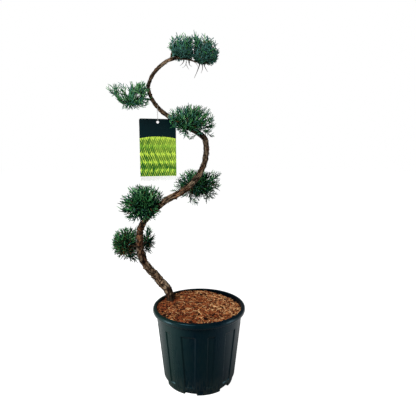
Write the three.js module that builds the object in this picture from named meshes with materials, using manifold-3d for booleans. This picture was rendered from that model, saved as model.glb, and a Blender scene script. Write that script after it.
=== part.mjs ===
// A juniper trained as a spiral, standing in its nursery pot: one wound stem that carries
// eight clipped masses of foliage, a mulched root ball and a hanging picture label.
// Millimetres, +Z up. The origin is the centre of the pot's flat underside, with +X to the
// right and +Y to the back.
import * as THREE from 'three';
import { mergeVertices } from 'three/addons/utils/BufferGeometryUtils.js';
import Module from 'manifold-3d';

const wasm = await Module();
wasm.setup();

// Clearance that neighbouring pieces keep.
const GAP = 0.3;
const GOLDEN_ANGLE = Math.PI * (3 - Math.sqrt(5));

// The pot: a tapered wall on a narrower foot, with a rolled lip, six wide sunk panels and
// six narrow flutes between them.
const POT = {
  height: 260,
  wall: 3,
  floor: 5,
  footRadius: 115,
  footHeight: 17,
  wallRadius: 119,
  wallFlare: 0.104,
  lipRadius: 155,
  lipHeight: 20,
  panelLow: 30,
  panelHigh: 208,
  panelDepth: 3,
  panelTurn: -103,
  panelHalf: 8.5,
  fluteHalf: 3.8,
  edge: 1.4,
  ramp: 4,
  sectors: 6,
};

// Heights and radii of the wall's smaller steps: above the foot, under the lip, along the
// lip's rounding, and inside round the floor.
const POT_STEPS = { footTop: 21, lipUnder: 1, lipCurve: 6, lipNarrow: 2, lipRound: 4 };
const POT_INSIDE = { cornerRadius: 104, cornerHeight: 14, floorRadius: 100 };

// The six drainage notches that are cut up into the foot.
const NOTCH = { width: 40, height: 11, radius: 107, reach: 30 };

// Root ball and mulch: level at the trunk's foot, mounded, and low at the back right.
const MULCH = {
  level: 250,
  mound: 4,
  edgeDrop: 3,
  lowDrop: 5,
  lowTurn: 40,
  chip: 2.2,
  flatRadius: 34,
  rings: [0, 50, 95, 122],
  inset: 1,
  wideBelow: 10,
};

// The stem's centre line from the mulch to its tip, with its diameter at each station.
const STATIONS = [
  { at: [-100, 58, 250.3], wide: 30 },
  { at: [-112, 60, 288], wide: 29.5 },
  { at: [-142, 55, 328], wide: 28 },
  { at: [-189, 31, 402], wide: 25 },
  { at: [-194, -6, 468], wide: 22.5 },
  { at: [-174, -58, 549], wide: 20 },
  { at: [-104, -100, 621], wide: 17.5 },
  { at: [-49, -95, 652], wide: 18.5 },
  { at: [-9, -65, 686], wide: 18 },
  { at: [18, -20, 733], wide: 17 },
  { at: [24, 25, 784], wide: 17.5 },
  { at: [12, 52, 821], wide: 17.5 },
  { at: [-51, 66, 858], wide: 16 },
  { at: [-109, 72, 892], wide: 14.5 },
  { at: [-135, 69, 915], wide: 13.5 },
  { at: [-152, 53, 939], wide: 12 },
  { at: [-158, 22, 965], wide: 10.5 },
  { at: [-149, -10, 985], wide: 11 },
  { at: [-125, -47, 1009], wide: 10.5 },
  { at: [-87, -80, 1029], wide: 9.5 },
  { at: [-55, -90, 1036], wide: 8.5 },
];

// The root flare at the foot of the stem: how far it spreads, over what height, in how many lobes.
const FLARE = { spread: 4, height: 14, lobes: 5, depth: 0.12 };

// The stem is split where it bends round a wide gap. Each run names its first and last station.
const RUNS = [
  { name: 'trunk_foot_run', from: 0, to: 3 },
  { name: 'trunk_left_bend', from: 3, to: 5 },
  { name: 'trunk_front_run', from: 5, to: 7 },
  { name: 'trunk_right_climb', from: 7, to: 9 },
  { name: 'trunk_right_bend', from: 9, to: 11.3 },
  { name: 'trunk_back_run', from: 11.3, to: 14.6 },
  { name: 'trunk_upper_bend', from: 14.6, to: 17.5 },
  { name: 'trunk_top_run', from: 17.5, to: 20 },
];

// Faces round a limb, its rings per station, and the frames that are worked out per station.
const TRUNK_SIDES = 8;
const TRUNK_RINGS = 3;
const BOUGH_SIDES = 6;
const BOUGH_RINGS = 4;
const FRAMES_PER_STATION = 12;

// Boughs: a route from inside the stem to the mass that each one carries, with its two
// diameters. Each is cut where it leaves the stem.
const BOUGHS = [
  {
    name: 'bough_top_left', wide: [6, 4.5],
    route: [[-74, -85, 1034], [-75, -84, 1044], [-73, -83, 1052]],
  },
  {
    name: 'bough_top_right', wide: [6.5, 4],
    route: [[-60, -89.5, 1036], [-27, -86, 1032], [-7, -79, 1028]],
  },
  {
    name: 'bough_upper_left', wide: [7, 5.5],
    route: [[-147, 60, 931], [-159, 56, 938], [-175, 49, 939]],
  },
  {
    name: 'bough_upper_right', wide: [8, 6],
    route: [[-40, 64, 853], [-37, 53, 862], [-35, 46, 867]],
  },
  {
    name: 'bough_middle_right', wide: [8, 6],
    route: [[-13, -68, 683], [-11, -52, 679], [-9, -38, 676]],
  },
  {
    name: 'bough_middle_left', wide: [8, 6],
    route: [[-156, -76, 573], [-160, -82, 581], [-163, -87, 588]],
  },
  {
    name: 'bough_lower_left_outer', wide: [8.5, 6],
    route: [[-194, 1, 457], [-208, 14, 456], [-222, 23, 457]],
  },
  {
    name: 'bough_lower_left_inner', wide: [7, 5],
    route: [[-194, -3, 463], [-188, 16, 464], [-182, 27, 466]],
  },
];

// The masses of foliage. Each grows from its bough's tip along a stem through its heart. Its
// reach is measured from the heart to each side (x), in depth (y), up and down, and
// its shape is boxier than an ellipsoid. A dense one has a core that its sprays stand out of.
const BOXINESS = 2.5;
const MASSES = [
  {
    name: 'foliage_top_left', bough: 'bough_top_left', seed: 11, sprays: 25, core: 0.72,
    heart: [-47, -80, 1050], reach: { x: 36, y: 46, up: 62, down: 17 }, lean: [-0.1, 0, 1], fan: 0.34,
    stem: [[-62, -80, 1056], [-44, -78, 1062]],
  },
  {
    name: 'foliage_top_right', bough: 'bough_top_right', seed: 12, sprays: 27, core: 0.74,
    heart: [23, -66, 1049], reach: { x: 37, y: 46, up: 65, down: 26 }, lean: [0.12, 0, 1], fan: 0.4,
    stem: [[10, -72, 1030], [30, -62, 1042]],
  },
  {
    name: 'foliage_upper_left', bough: 'bough_upper_left', seed: 13, sprays: 28, core: 0,
    heart: [-220, 28, 941], reach: { x: 68, y: 40, up: 48, down: 36 }, lean: [-0.16, 0, 1], fan: 0.36,
    stem: [[-205, 38, 936], [-228, 30, 927], [-257, 18, 939], [-274, 12, 963]],
  },
  {
    name: 'foliage_upper_right', bough: 'bough_upper_right', seed: 14, sprays: 31, core: 0.7,
    heart: [-25, 44, 873], reach: { x: 76, y: 46, up: 51, down: 36 }, lean: [0.3, 0, 1], fan: 0.42,
    stem: [[-40, 38, 878], [-20, 36, 880], [6, 40, 878]],
  },
  {
    name: 'foliage_middle_right', bough: 'bough_middle_right', seed: 15, sprays: 29, core: 0.7,
    heart: [-9, -1, 668], reach: { x: 69, y: 44, up: 47, down: 42 }, lean: [0.1, 0, 0.8], fan: 0.62,
    stem: [[-8, -20, 672], [-4, 6, 672]],
  },
  {
    name: 'foliage_middle_left', bough: 'bough_middle_left', seed: 16, sprays: 31, core: 0.72,
    heart: [-168, -92, 619], reach: { x: 63, y: 50, up: 53, down: 54 }, lean: [-0.1, 0, 0.7], fan: 0.72,
    stem: [[-168, -98, 612], [-172, -100, 628]],
  },
  {
    name: 'foliage_lower_left_outer', bough: 'bough_lower_left_outer', seed: 17, sprays: 28, core: 0.72,
    heart: [-251, 38, 463], reach: { x: 48, y: 46, up: 54, down: 54 }, lean: [-0.1, 0, 0.8], fan: 0.7,
    stem: [[-236, 30, 459], [-252, 38, 466]],
  },
  {
    name: 'foliage_lower_left_inner', bough: 'bough_lower_left_inner', seed: 18, sprays: 17, core: 0,
    heart: [-176, 44, 473], reach: { x: 30, y: 40, up: 47, down: 48 }, lean: [0.2, 0, 0.8], fan: 0.74,
    stem: [[-179, 38, 469], [-177, 46, 474]],
  },
];

// A spray of needles: its length and width, how deep its root is sunk, how far it is bare and
// how far it keeps from its neighbours. Its tip lies between near and far of the mass's
// reach, and its foot within footLimit of it. Below hangBelow it takes only hangLean of
// the mass's lean. It may root at one of rootChoices joints, and carries one at branchAt.
const SPRAY = {
  short: 27,
  long: 41,
  least: 15,
  wide: 7,
  sunk: 3,
  footSunk: 7,
  bare: 18,
  apart: 3.2,
  near: 0.87,
  far: 1.02,
  footLimit: 0.82,
  shorten: 0.9,
  hangBelow: -0.35,
  hangLean: 0.15,
  rootChoices: 6,
  branchAt: 0.35,
};

// The needles that stand out of a spray: how many, their size, their tilt in degrees, the
// part of the spray between the first and the last, and how far out they may reach.
const NEEDLE = {
  count: 2,
  long: 15,
  wide: 3,
  tilt: 40,
  first: 0.86,
  span: 0.54,
  short: 0.7,
  bare: 4,
  reach: 1.05,
};

// The core of a dense mass: how uneven its corners are, and the part that sprays root in.
const CORE = { low: 0.92, uneven: 0.16, rooting: 0.85 };

// The stem of a mass: its first straight stretch, its width at the tip, its faces and rings,
// and the place from which sprays root on it, in steps of its stations.
const STEM = { lead: 5, tip: 2.2, sides: 5, rings: 5, firstJoint: 10, jointsPerStation: 8 };

// How close growth may come to a limb, and by how much it keeps to its own side of a neighbour.
const LIMB_CLEARANCE = 1.2;
const SPACE_MARGIN = 0.04;
const TEST_STEP = 3;
const BALLS_PER_STATION = 10;

// The picture label: a card with a punched hole that hangs from a loop of thread.
const LABEL = {
  width: 123,
  height: 204,
  thick: 0.8,
  corner: 6,
  cornerSteps: 5,
  hole: 4.5,
  holeDrop: 11,
  yaw: 17,
  station: 14.1,
  drop: 50,
};
const THREAD = { radius: 0.6, play: 0.7, sides: 4, steps: 26, arcPoints: 9, lift: 1 };
const THREAD_CROSSING = [-2.4, -0.8, 0.8, 2.4];

// Room that growth leaves round the thread: above the stem, to its sides, and in depth.
const THREAD_ROOM = { above: 14, side: 2, depth: 12 };

// Colours and surface of each kind of piece.
const FINISH = {
  pot: { color: 0x16262b, roughness: 0.42, metalness: 0 },
  mulch: { color: 0x8f5232, roughness: 0.95, metalness: 0 },
  bark: { color: 0x6b5446, roughness: 0.9, metalness: 0 },
  foliage: { color: 0x1f4f38, roughness: 0.75, metalness: 0 },
  card: { color: 0x7fae3a, roughness: 0.4, metalness: 0 },
  thread: { color: 0xd8dcdc, roughness: 0.6, metalness: 0 },
};

// Repeatable number from 0 to 1 for a seed and a count.
function chance(seed, count) {
  const wave = Math.sin(seed * 12.9898 + count * 78.233) * 43758.5453;
  return wave - Math.floor(wave);
}

function vector(values) {
  return new THREE.Vector3(...values);
}

// A closed three.js geometry as a solid: shared corners are merged and empty faces dropped.
function solid(geometry) {
  const bare = geometry.clone();
  bare.deleteAttribute('normal');
  bare.deleteAttribute('uv');
  const merged = mergeVertices(bare, 1e-4);
  const index = merged.index.array;
  const faces = [];
  for (let i = 0; i < index.length; i += 3) {
    const [a, b, c] = [index[i], index[i + 1], index[i + 2]];
    if (a !== b && b !== c && c !== a) {
      faces.push(a, b, c);
    }
  }
  const vertProperties = new Float32Array(merged.attributes.position.array);
  const mesh = new wasm.Mesh({ numProp: 3, vertProperties, triVerts: new Uint32Array(faces) });
  return new wasm.Manifold(mesh);
}

// The largest body of a solid, without loose scraps and sealed hollows.
function mainBody(shape) {
  const bodies = shape.decompose();
  bodies.sort((a, b) => b.volume() - a.volume());
  return bodies[0];
}

// A named mesh of a solid with a material of its own.
function piece(name, shape, finish) {
  const { numProp, vertProperties, triVerts } = shape.getMesh();
  const count = vertProperties.length / numProp;
  const positions = new Float32Array(count * 3);
  for (let i = 0; i < count; i += 1) {
    positions.set(vertProperties.subarray(i * numProp, i * numProp + 3), i * 3);
  }
  const geometry = new THREE.BufferGeometry();
  geometry.setAttribute('position', new THREE.BufferAttribute(positions, 3));
  geometry.setIndex(new THREE.BufferAttribute(new Uint32Array(triVerts), 1));
  geometry.computeVertexNormals();
  const mesh = new THREE.Mesh(geometry, new THREE.MeshStandardMaterial(finish));
  mesh.name = name;
  return mesh;
}

// Angles in degrees of the columns that a turned wall has: those at the edges of its panels
// and flutes, so that both are cut sharply with few faces.
function columnAngles() {
  const sector = 360 / POT.sectors;
  const around = (centre, half) => [
    centre - half - POT.edge, centre - half, centre + half, centre + half + POT.edge,
  ];
  const edges = [...around(0, POT.panelHalf), ...around(sector / 2, POT.fluteHalf)];
  const angles = [];
  for (let i = 0; i < POT.sectors; i += 1) {
    for (const edge of edges) {
      angles.push(POT.panelTurn + i * sector + edge);
    }
  }
  return angles;
}

// A turned body on the pot's columns. The profile is a list of [radius, height], and shape
// may move each point: it gets the column's angle, the radius and the height.
function turned(profile, shape = (angle, radius, height) => [radius, height]) {
  const angles = columnAngles();
  const points = profile.map(([radius, height]) => new THREE.Vector2(radius, height));
  const geometry = new THREE.LatheGeometry(points, angles.length);
  const position = geometry.attributes.position;
  for (let i = 0; i < position.count; i += 1) {
    const column = Math.floor(i / profile.length) % angles.length;
    const angle = THREE.MathUtils.degToRad(angles[column]);
    const [radius, height] = shape(angles[column], ...profile[i % profile.length]);
    position.setXYZ(i, radius * Math.cos(angle), radius * Math.sin(angle), height);
  }
  return solid(geometry);
}

function wallRadius(height) {
  return POT.wallRadius + POT.wallFlare * height;
}

// How deep the wall is sunk at an angle: the full depth over the panels and the flutes.
function panelSink(angle) {
  const sector = 360 / POT.sectors;
  const turn = THREE.MathUtils.euclideanModulo(angle - POT.panelTurn + sector / 2, sector) - sector / 2;
  const overPanel = Math.abs(turn) < POT.panelHalf + POT.edge / 2;
  const overFlute = sector / 2 - Math.abs(turn) < POT.fluteHalf + POT.edge / 2;
  return overPanel || overFlute ? POT.panelDepth : 0;
}

function buildPot() {
  const { floor, height, lipRadius, panelLow, panelHigh, ramp } = POT;
  const { footTop, lipUnder, lipCurve, lipNarrow, lipRound } = POT_STEPS;
  const { cornerRadius, cornerHeight, floorRadius } = POT_INSIDE;
  const lipLow = height - POT.lipHeight;
  const outside = (z) => [wallRadius(z), z];
  const inside = (z) => [wallRadius(z) - POT.wall, z];
  const outer = [
    [0, 0], [POT.footRadius, 0], [POT.footRadius + 1, POT.footHeight],
    ...[footTop, panelLow - ramp, panelLow, panelHigh, panelHigh + ramp, lipLow].map(outside),
    [lipRadius - lipNarrow, lipLow + lipUnder], [lipRadius, lipLow + lipCurve],
    [lipRadius, height - lipRound], [lipRadius - lipRound, height],
  ];
  const inner = [
    ...[height, panelHigh + ramp, panelHigh, panelLow].map(inside),
    [cornerRadius, cornerHeight], [floorRadius, floor], [0, floor],
  ];
  const sunk = (angle, radius, z) => {
    const onPanel = z >= panelLow && z <= panelHigh;
    return [onPanel ? radius - panelSink(angle) : radius, z];
  };
  let pot = turned([...outer, ...inner], sunk);
  for (let i = 0; i < POT.sectors; i += 1) {
    const notch = new THREE.BoxGeometry(NOTCH.reach, NOTCH.width, NOTCH.height * 2);
    notch.translate(NOTCH.radius + NOTCH.reach / 2, 0, 0);
    notch.rotateZ(THREE.MathUtils.degToRad(POT.panelTurn + (i * 360) / POT.sectors));
    pot = pot.subtract(solid(notch));
  }
  return piece('pot', mainBody(pot), FINISH.pot);
}

// Height of the mulch at a point: a mound that sinks to the wall, lowest at the back right,
// rough with chips, and level round the trunk's foot.
function mulchHeight(x, y, key) {
  const out = Math.hypot(x, y) / wallRadius(MULCH.level);
  const lowSide = Math.max(0, Math.cos(Math.atan2(y, x) - THREE.MathUtils.degToRad(MULCH.lowTurn)));
  const [footX, footY] = STATIONS[0].at;
  const fromFoot = Math.hypot(x - footX, y - footY);
  const rough = THREE.MathUtils.smoothstep(fromFoot, MULCH.flatRadius, MULCH.flatRadius * 2);
  const fall = MULCH.edgeDrop * out ** 6 + MULCH.lowDrop * out * out * lowSide;
  const rise = MULCH.mound * (1 - out * out) - fall;
  return MULCH.level + rough * (rise + MULCH.chip * (chance(1, key) - 0.5));
}

function buildMulch() {
  const { cornerRadius, cornerHeight, floorRadius } = POT_INSIDE;
  const { level, inset } = MULCH;
  const side = (height) => wallRadius(height) - POT.wall - GAP;
  const lowSide = (height) => [side(height) - POT.panelDepth, height];
  const bottom = POT.floor + GAP;
  const shoulder = POT.panelHigh + 2 * POT.ramp;
  const profile = [
    [0, bottom], [floorRadius - inset, bottom], [cornerRadius - inset, cornerHeight + inset],
    lowSide(POT.panelLow + 2), lowSide(shoulder - POT.ramp),
    [side(shoulder), shoulder], [side(level - MULCH.wideBelow), level],
    ...MULCH.rings.map((radius) => [radius, level]).reverse(),
  ];
  const shape = (angle, radius, height) => {
    if (height < level) {
      return [radius, height];
    }
    const turn = THREE.MathUtils.degToRad(angle);
    const key = radius === 0 ? 0 : Math.round(angle) + radius;
    return [radius, mulchHeight(radius * Math.cos(turn), radius * Math.sin(turn), key)];
  };
  return piece('mulch', mainBody(turned(profile, shape)), FINISH.mulch);
}

// A limb's centre line with frames that are carried along it without twist. Its places are
// counted in stations, so place 2.5 lies halfway between the third and the fourth station.
class Spine {
  constructor(points, diameters) {
    this.curve = new THREE.CatmullRomCurve3(points.map(vector), false, 'catmullrom', 0.5);
    this.diameters = diameters;
    this.last = points.length - 1;
    this.samples = this.last * FRAMES_PER_STATION;
    this.tangents = [];
    this.normals = [];
    const start = this.curve.getTangent(0);
    let normal = new THREE.Vector3(0, 1, 0).addScaledVector(start, -start.y).normalize();
    for (let i = 0; i <= this.samples; i += 1) {
      const tangent = this.curve.getTangent(i / this.samples);
      normal = normal.clone().addScaledVector(tangent, -normal.dot(tangent)).normalize();
      this.tangents.push(tangent);
      this.normals.push(normal);
    }
  }

  point(place) {
    return this.curve.getPoint(place / this.last);
  }

  radius(place) {
    const low = Math.min(Math.floor(place), this.last - 1);
    return THREE.MathUtils.lerp(this.diameters[low], this.diameters[low + 1], place - low) / 2;
  }

  frame(place) {
    const exact = (place / this.last) * this.samples;
    const low = Math.min(Math.floor(exact), this.samples - 1);
    const blend = exact - low;
    const tangent = this.tangents[low].clone().lerp(this.tangents[low + 1], blend).normalize();
    const normal = this.normals[low].clone().lerp(this.normals[low + 1], blend);
    normal.addScaledVector(tangent, -normal.dot(tangent)).normalize();
    return { tangent, normal, side: normal.clone().cross(tangent) };
  }
}

// A round limb along a spine from one place to another: a cylinder whose rings are moved to
// the spine. Its ends are pulled in by an amount, and its radius grown by another.
function limb(spine, { from = 0, to = spine.last, sides, steps, pull, grow = 0, shape = null }) {
  const geometry = new THREE.CylinderGeometry(1, 1, 1, sides, steps);
  const position = geometry.attributes.position;
  for (let i = 0; i < position.count; i += 1) {
    const [x, y, z] = [position.getX(i), position.getY(i) + 0.5, position.getZ(i)];
    const place = THREE.MathUtils.lerp(from, to, y);
    const { tangent, normal, side } = spine.frame(place);
    const angle = Math.atan2(z, x);
    const across = Math.hypot(x, z) * (spine.radius(place) + grow);
    const point = spine.point(place);
    point.addScaledVector(normal, across * Math.cos(angle));
    point.addScaledVector(side, across * Math.sin(angle));
    if (y < 1e-6) {
      point.addScaledVector(tangent, pull);
    } else if (y > 1 - 1e-6) {
      point.addScaledVector(tangent, -pull);
    }
    if (shape) {
      shape(point, place, angle);
    }
    position.setXYZ(i, point.x, point.y, point.z);
  }
  return solid(geometry);
}

// The root flare: the lowest rings spread in lobes, and the first is cut level at the mulch.
function flareFoot(point, place, angle) {
  const [footX, footY, footZ] = STATIONS[0].at;
  const reach = FLARE.spread * Math.exp(-Math.max(0, point.z - footZ) / FLARE.height);
  const lobes = 1 + FLARE.depth * Math.cos(FLARE.lobes * angle);
  if (place < 1) {
    const out = new THREE.Vector2(point.x - footX, point.y - footY);
    if (out.length() > 1) {
      out.setLength(reach * lobes);
      point.x += out.x;
      point.y += out.y;
    }
  }
  if (place < 1e-6) {
    point.z = footZ;
  }
}

const trunkSpine = new Spine(STATIONS.map(({ at }) => at), STATIONS.map(({ wide }) => wide));

// One run of the stem, or the same run grown by a clearance on its sides and ends.
function trunkRun({ from, to }, grow = 0) {
  return limb(trunkSpine, {
    from,
    to,
    sides: TRUNK_SIDES,
    steps: Math.round((to - from) * TRUNK_RINGS),
    pull: grow ? -grow : GAP / 2,
    grow,
    shape: from === 0 ? flareFoot : null,
  });
}

function buildTrunk() {
  return RUNS.map((run) => piece(run.name, trunkRun(run), FINISH.bark));
}

// The whole stem, grown by a clearance, which boughs and cores are cut clear with.
function grownTrunk(clearance) {
  return RUNS.map((run) => trunkRun(run, clearance)).reduce((whole, run) => whole.add(run));
}

function boughSpine({ route, wide }) {
  const last = route.length - 1;
  return new Spine(route, route.map((_, i) => THREE.MathUtils.lerp(wide[0], wide[1], i / last)));
}

function boughShape(bough, grow = 0) {
  const pull = grow ? -grow / 2 : GAP / 2;
  return limb(boughSpine(bough), { sides: BOUGH_SIDES, steps: BOUGH_RINGS, pull, grow });
}

function buildBoughs() {
  const keepOut = grownTrunk(GAP);
  return BOUGHS.map((bough) => {
    const clear = boughShape(bough).subtract(keepOut);
    return piece(bough.name, mainBody(clear), FINISH.bark);
  });
}

// A straight spike with three sides that tapers to a point.
function spike(from, to, wide) {
  const along = to.clone().sub(from);
  const length = along.length();
  const geometry = new THREE.ConeGeometry(wide / 2, length, 3);
  const upright = new THREE.Vector3(0, 1, 0);
  geometry.translate(0, length / 2, 0);
  geometry.applyQuaternion(new THREE.Quaternion().setFromUnitVectors(upright, along.normalize()));
  geometry.translate(from.x, from.y, from.z);
  return solid(geometry);
}

// How far out a point lies in a mass's space: 0 at the heart and 1 at the end of its reach.
function spread(mass, point) {
  const [x, y, z] = point.toArray().map((value, axis) => value - mass.heart[axis]);
  const { reach } = mass;
  const terms = [x / reach.x, y / reach.y, z / (z > 0 ? reach.up : reach.down)];
  return terms.reduce((sum, term) => sum + Math.abs(term) ** BOXINESS, 0) ** (1 / BOXINESS);
}

// The label's place: a point below the stem, with the card's three directions.
function labelFrame() {
  const yaw = THREE.MathUtils.degToRad(LABEL.yaw);
  const hang = trunkSpine.point(LABEL.station);
  return {
    hang,
    hole: hang.clone().setZ(hang.z - LABEL.drop),
    across: new THREE.Vector3(Math.cos(yaw), Math.sin(yaw), 0),
    back: new THREE.Vector3(-Math.sin(yaw), Math.cos(yaw), 0),
  };
}

// Balls along every limb and a slab for the card, which the growth is tested against.
const limbBalls = [];
for (const spine of [trunkSpine, ...BOUGHS.map(boughSpine)]) {
  for (let i = 0; i <= spine.last * BALLS_PER_STATION; i += 1) {
    const place = i / BALLS_PER_STATION;
    limbBalls.push({ at: spine.point(place), radius: spine.radius(place) });
  }
}

function touchesLabel(point, clearance) {
  const { hang, hole, across, back } = labelFrame();
  const local = point.clone().sub(hole);
  const side = Math.abs(local.dot(across));
  const depth = Math.abs(local.dot(back));
  const top = LABEL.holeDrop + clearance;
  const bottom = LABEL.holeDrop - LABEL.height - clearance;
  const onFace = side < LABEL.width / 2 + clearance && local.z < top && local.z > bottom;
  const onCard = onFace && depth < clearance + LABEL.thick;
  const besideThread = side < THREAD_ROOM.side + clearance && depth < THREAD_ROOM.depth + clearance;
  return onCard || (besideThread && local.z > 0 && point.z < hang.z + THREAD_ROOM.above);
}

// Whether a stretch of growth may stand: it keeps to its own space and clear of the limbs.
function mayGrow(mass, from, to, wide, skipStart = 0) {
  const clearance = LIMB_CLEARANCE + wide / 2;
  const length = from.distanceTo(to);
  const steps = Math.max(2, Math.ceil(length / TEST_STEP));
  for (let i = 0; i <= steps; i += 1) {
    const point = from.clone().lerp(to, i / steps);
    const tested = (length * i) / steps >= skipStart;
    if (tested && limbBalls.some(({ at, radius }) => at.distanceTo(point) < radius + clearance)) {
      return false;
    }
    if (touchesLabel(point, clearance)) {
      return false;
    }
    const own = spread(mass, point);
    if (MASSES.some((other) => other !== mass && spread(other, point) < own + SPACE_MARGIN)) {
      return false;
    }
  }
  return true;
}

// The stem of a mass: from its bough's tip, a clearance away, through the listed points.
function massStem(mass) {
  const bough = BOUGHS.find(({ name }) => name === mass.bough);
  const end = boughSpine(bough);
  const { tangent } = end.frame(end.last);
  const start = end.point(end.last).addScaledVector(tangent, GAP / 2);
  const lead = start.clone().addScaledVector(tangent, STEM.lead);
  const points = [start.toArray(), lead.toArray(), ...mass.stem];
  const { length } = points;
  const widths = points.map((_, i) => THREE.MathUtils.lerp(bough.wide[1], STEM.tip, i / (length - 1)));
  return new Spine(points, widths);
}

// Sprays of one mass: their tips are spread evenly over its space by the golden angle, near
// the end of its reach, and each points between straight out and the mass's lean. Those
// under the heart hang outwards. A spray whose foot leaves the space is shortened.
function spraysOf(mass) {
  const sprays = [];
  const heart = vector(mass.heart);
  for (let i = 0; i < mass.sprays; i += 1) {
    const height = 1 - (2 * (i + 0.5)) / mass.sprays;
    const ring = Math.sqrt(1 - height * height);
    const angle = i * GOLDEN_ANGLE + mass.seed;
    const out = new THREE.Vector3(ring * Math.cos(angle), ring * Math.sin(angle), height);
    const share = THREE.MathUtils.lerp(SPRAY.near, SPRAY.far, chance(mass.seed, i));
    const tip = heart.clone().addScaledVector(out, share / spread(mass, heart.clone().add(out)));
    const lean = vector(mass.lean).multiplyScalar(height < SPRAY.hangBelow ? SPRAY.hangLean : 1);
    const axis = out.clone().multiplyScalar(mass.fan).addScaledVector(lean, 1 - mass.fan).normalize();
    const footAt = (length) => tip.clone().addScaledVector(axis, -length);
    let length = THREE.MathUtils.lerp(SPRAY.short, SPRAY.long, chance(mass.seed + 5, i));
    while (length > SPRAY.least && spread(mass, footAt(length)) > SPRAY.footLimit) {
      length *= SPRAY.shorten;
    }
    sprays.push({ count: i, length, tip, foot: footAt(length) });
  }
  return sprays;
}

// Whether a stretch of growth keeps clear of what has already grown, apart from its own root.
function apart(grown, from, to, skipStart) {
  const length = from.distanceTo(to);
  const steps = Math.max(3, Math.ceil(length / TEST_STEP));
  for (let i = 0; i <= steps; i += 1) {
    const point = from.clone().lerp(to, i / steps);
    const tested = (length * i) / steps >= skipStart;
    if (tested && grown.some((other) => other.distanceTo(point) < SPRAY.apart)) {
      return false;
    }
  }
  return true;
}

function recordGrowth(grown, from, to) {
  const steps = Math.max(3, Math.ceil(from.distanceTo(to) / TEST_STEP));
  for (let i = 1; i <= steps; i += 1) {
    grown.push(from.clone().lerp(to, i / steps));
  }
}

// One spray as spikes: a slim core from its root to its tip, and needles that stand out of
// it in turn.
function sprayShapes(mass, grown, { count, length, root, tip }) {
  const shapes = [spike(root, tip, SPRAY.wide)];
  const axis = tip.clone().sub(root).normalize();
  const across = new THREE.Vector3(axis.y, -axis.x, 0.3).cross(axis).normalize();
  const tilt = THREE.MathUtils.degToRad(NEEDLE.tilt);
  for (let i = 0; i < NEEDLE.count; i += 1) {
    const back = length * (NEEDLE.first - (NEEDLE.span * i) / (NEEDLE.count - 1));
    const turn = i * GOLDEN_ANGLE + count;
    const side = across.clone().applyAxisAngle(axis, turn);
    const needle = axis.clone().multiplyScalar(Math.cos(tilt)).addScaledVector(side, Math.sin(tilt));
    const start = tip.clone().addScaledVector(axis, -back);
    const long = NEEDLE.long * THREE.MathUtils.lerp(NEEDLE.short, 1, back / length);
    const end = start.clone().addScaledVector(needle, long);
    const fits = mayGrow(mass, start, end, NEEDLE.wide) && spread(mass, end) < NEEDLE.reach;
    if (fits && apart(grown, start, end, NEEDLE.bare)) {
      shapes.push(spike(start, end, NEEDLE.wide));
      recordGrowth(grown, start.clone().lerp(end, 0.4), end);
    }
  }
  return shapes;
}

// The core of a dense mass: a faceted body of the mass's own shape with uneven corners.
function coreShape(mass) {
  const geometry = new THREE.IcosahedronGeometry(1, 1);
  const position = geometry.attributes.position;
  const heart = vector(mass.heart);
  for (let i = 0; i < position.count; i += 1) {
    const out = new THREE.Vector3().fromBufferAttribute(position, i);
    const key = Math.round(out.x * 40) + Math.round(out.y * 40) * 3 + Math.round(out.z * 40) * 7;
    const uneven = mass.core * (CORE.low + CORE.uneven * chance(mass.seed, key));
    const corner = heart.clone().addScaledVector(out, uneven / spread(mass, heart.clone().add(out)));
    position.setXYZ(i, corner.x, corner.y, corner.z);
  }
  return solid(geometry);
}

// A mass of foliage: its stem and its sprays, fused into one body. A spray whose foot is not
// in the core is rooted at the nearest place on the stem or on the lower part of a spray
// that grew before it.
function buildMass(mass, keepOut) {
  const stem = massStem(mass);
  const shapes = [limb(stem, { sides: STEM.sides, steps: STEM.rings, pull: GAP / 2 })];
  const joints = [];
  for (let i = STEM.firstJoint; i <= stem.last * STEM.jointsPerStation; i += 1) {
    joints.push(stem.point(i / STEM.jointsPerStation));
  }
  if (mass.core) {
    shapes.push(coreShape(mass));
  }
  const grown = [];
  const heart = vector(mass.heart);
  const inCore = (point) => mass.core && spread(mass, point) < mass.core * CORE.rooting;
  const inward = spraysOf(mass).sort((a, b) => spread(mass, a.foot) - spread(mass, b.foot));
  for (const spray of inward) {
    const { foot, tip } = spray;
    const nearest = joints.slice().sort((a, b) => a.distanceTo(foot) - b.distanceTo(foot));
    const sunkFoot = foot.clone().lerp(heart, SPRAY.footSunk / heart.distanceTo(foot));
    const roots = inCore(foot) ? [sunkFoot] : nearest.slice(0, SPRAY.rootChoices);
    const fits = (from) => mayGrow(mass, from, tip, SPRAY.wide, SPRAY.sunk);
    const root = roots.find((from) => fits(from) && apart(grown, from, tip, SPRAY.bare));
    if (root) {
      shapes.push(...sprayShapes(mass, grown, { ...spray, root }));
      recordGrowth(grown, root, tip);
      joints.push(root.clone().lerp(tip, SPRAY.branchAt));
    }
  }
  const fused = shapes.reduce((whole, shape) => whole.add(shape));
  const clear = mass.core ? fused.subtract(keepOut) : fused;
  return piece(mass.name, mainBody(clear), FINISH.foliage);
}

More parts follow.
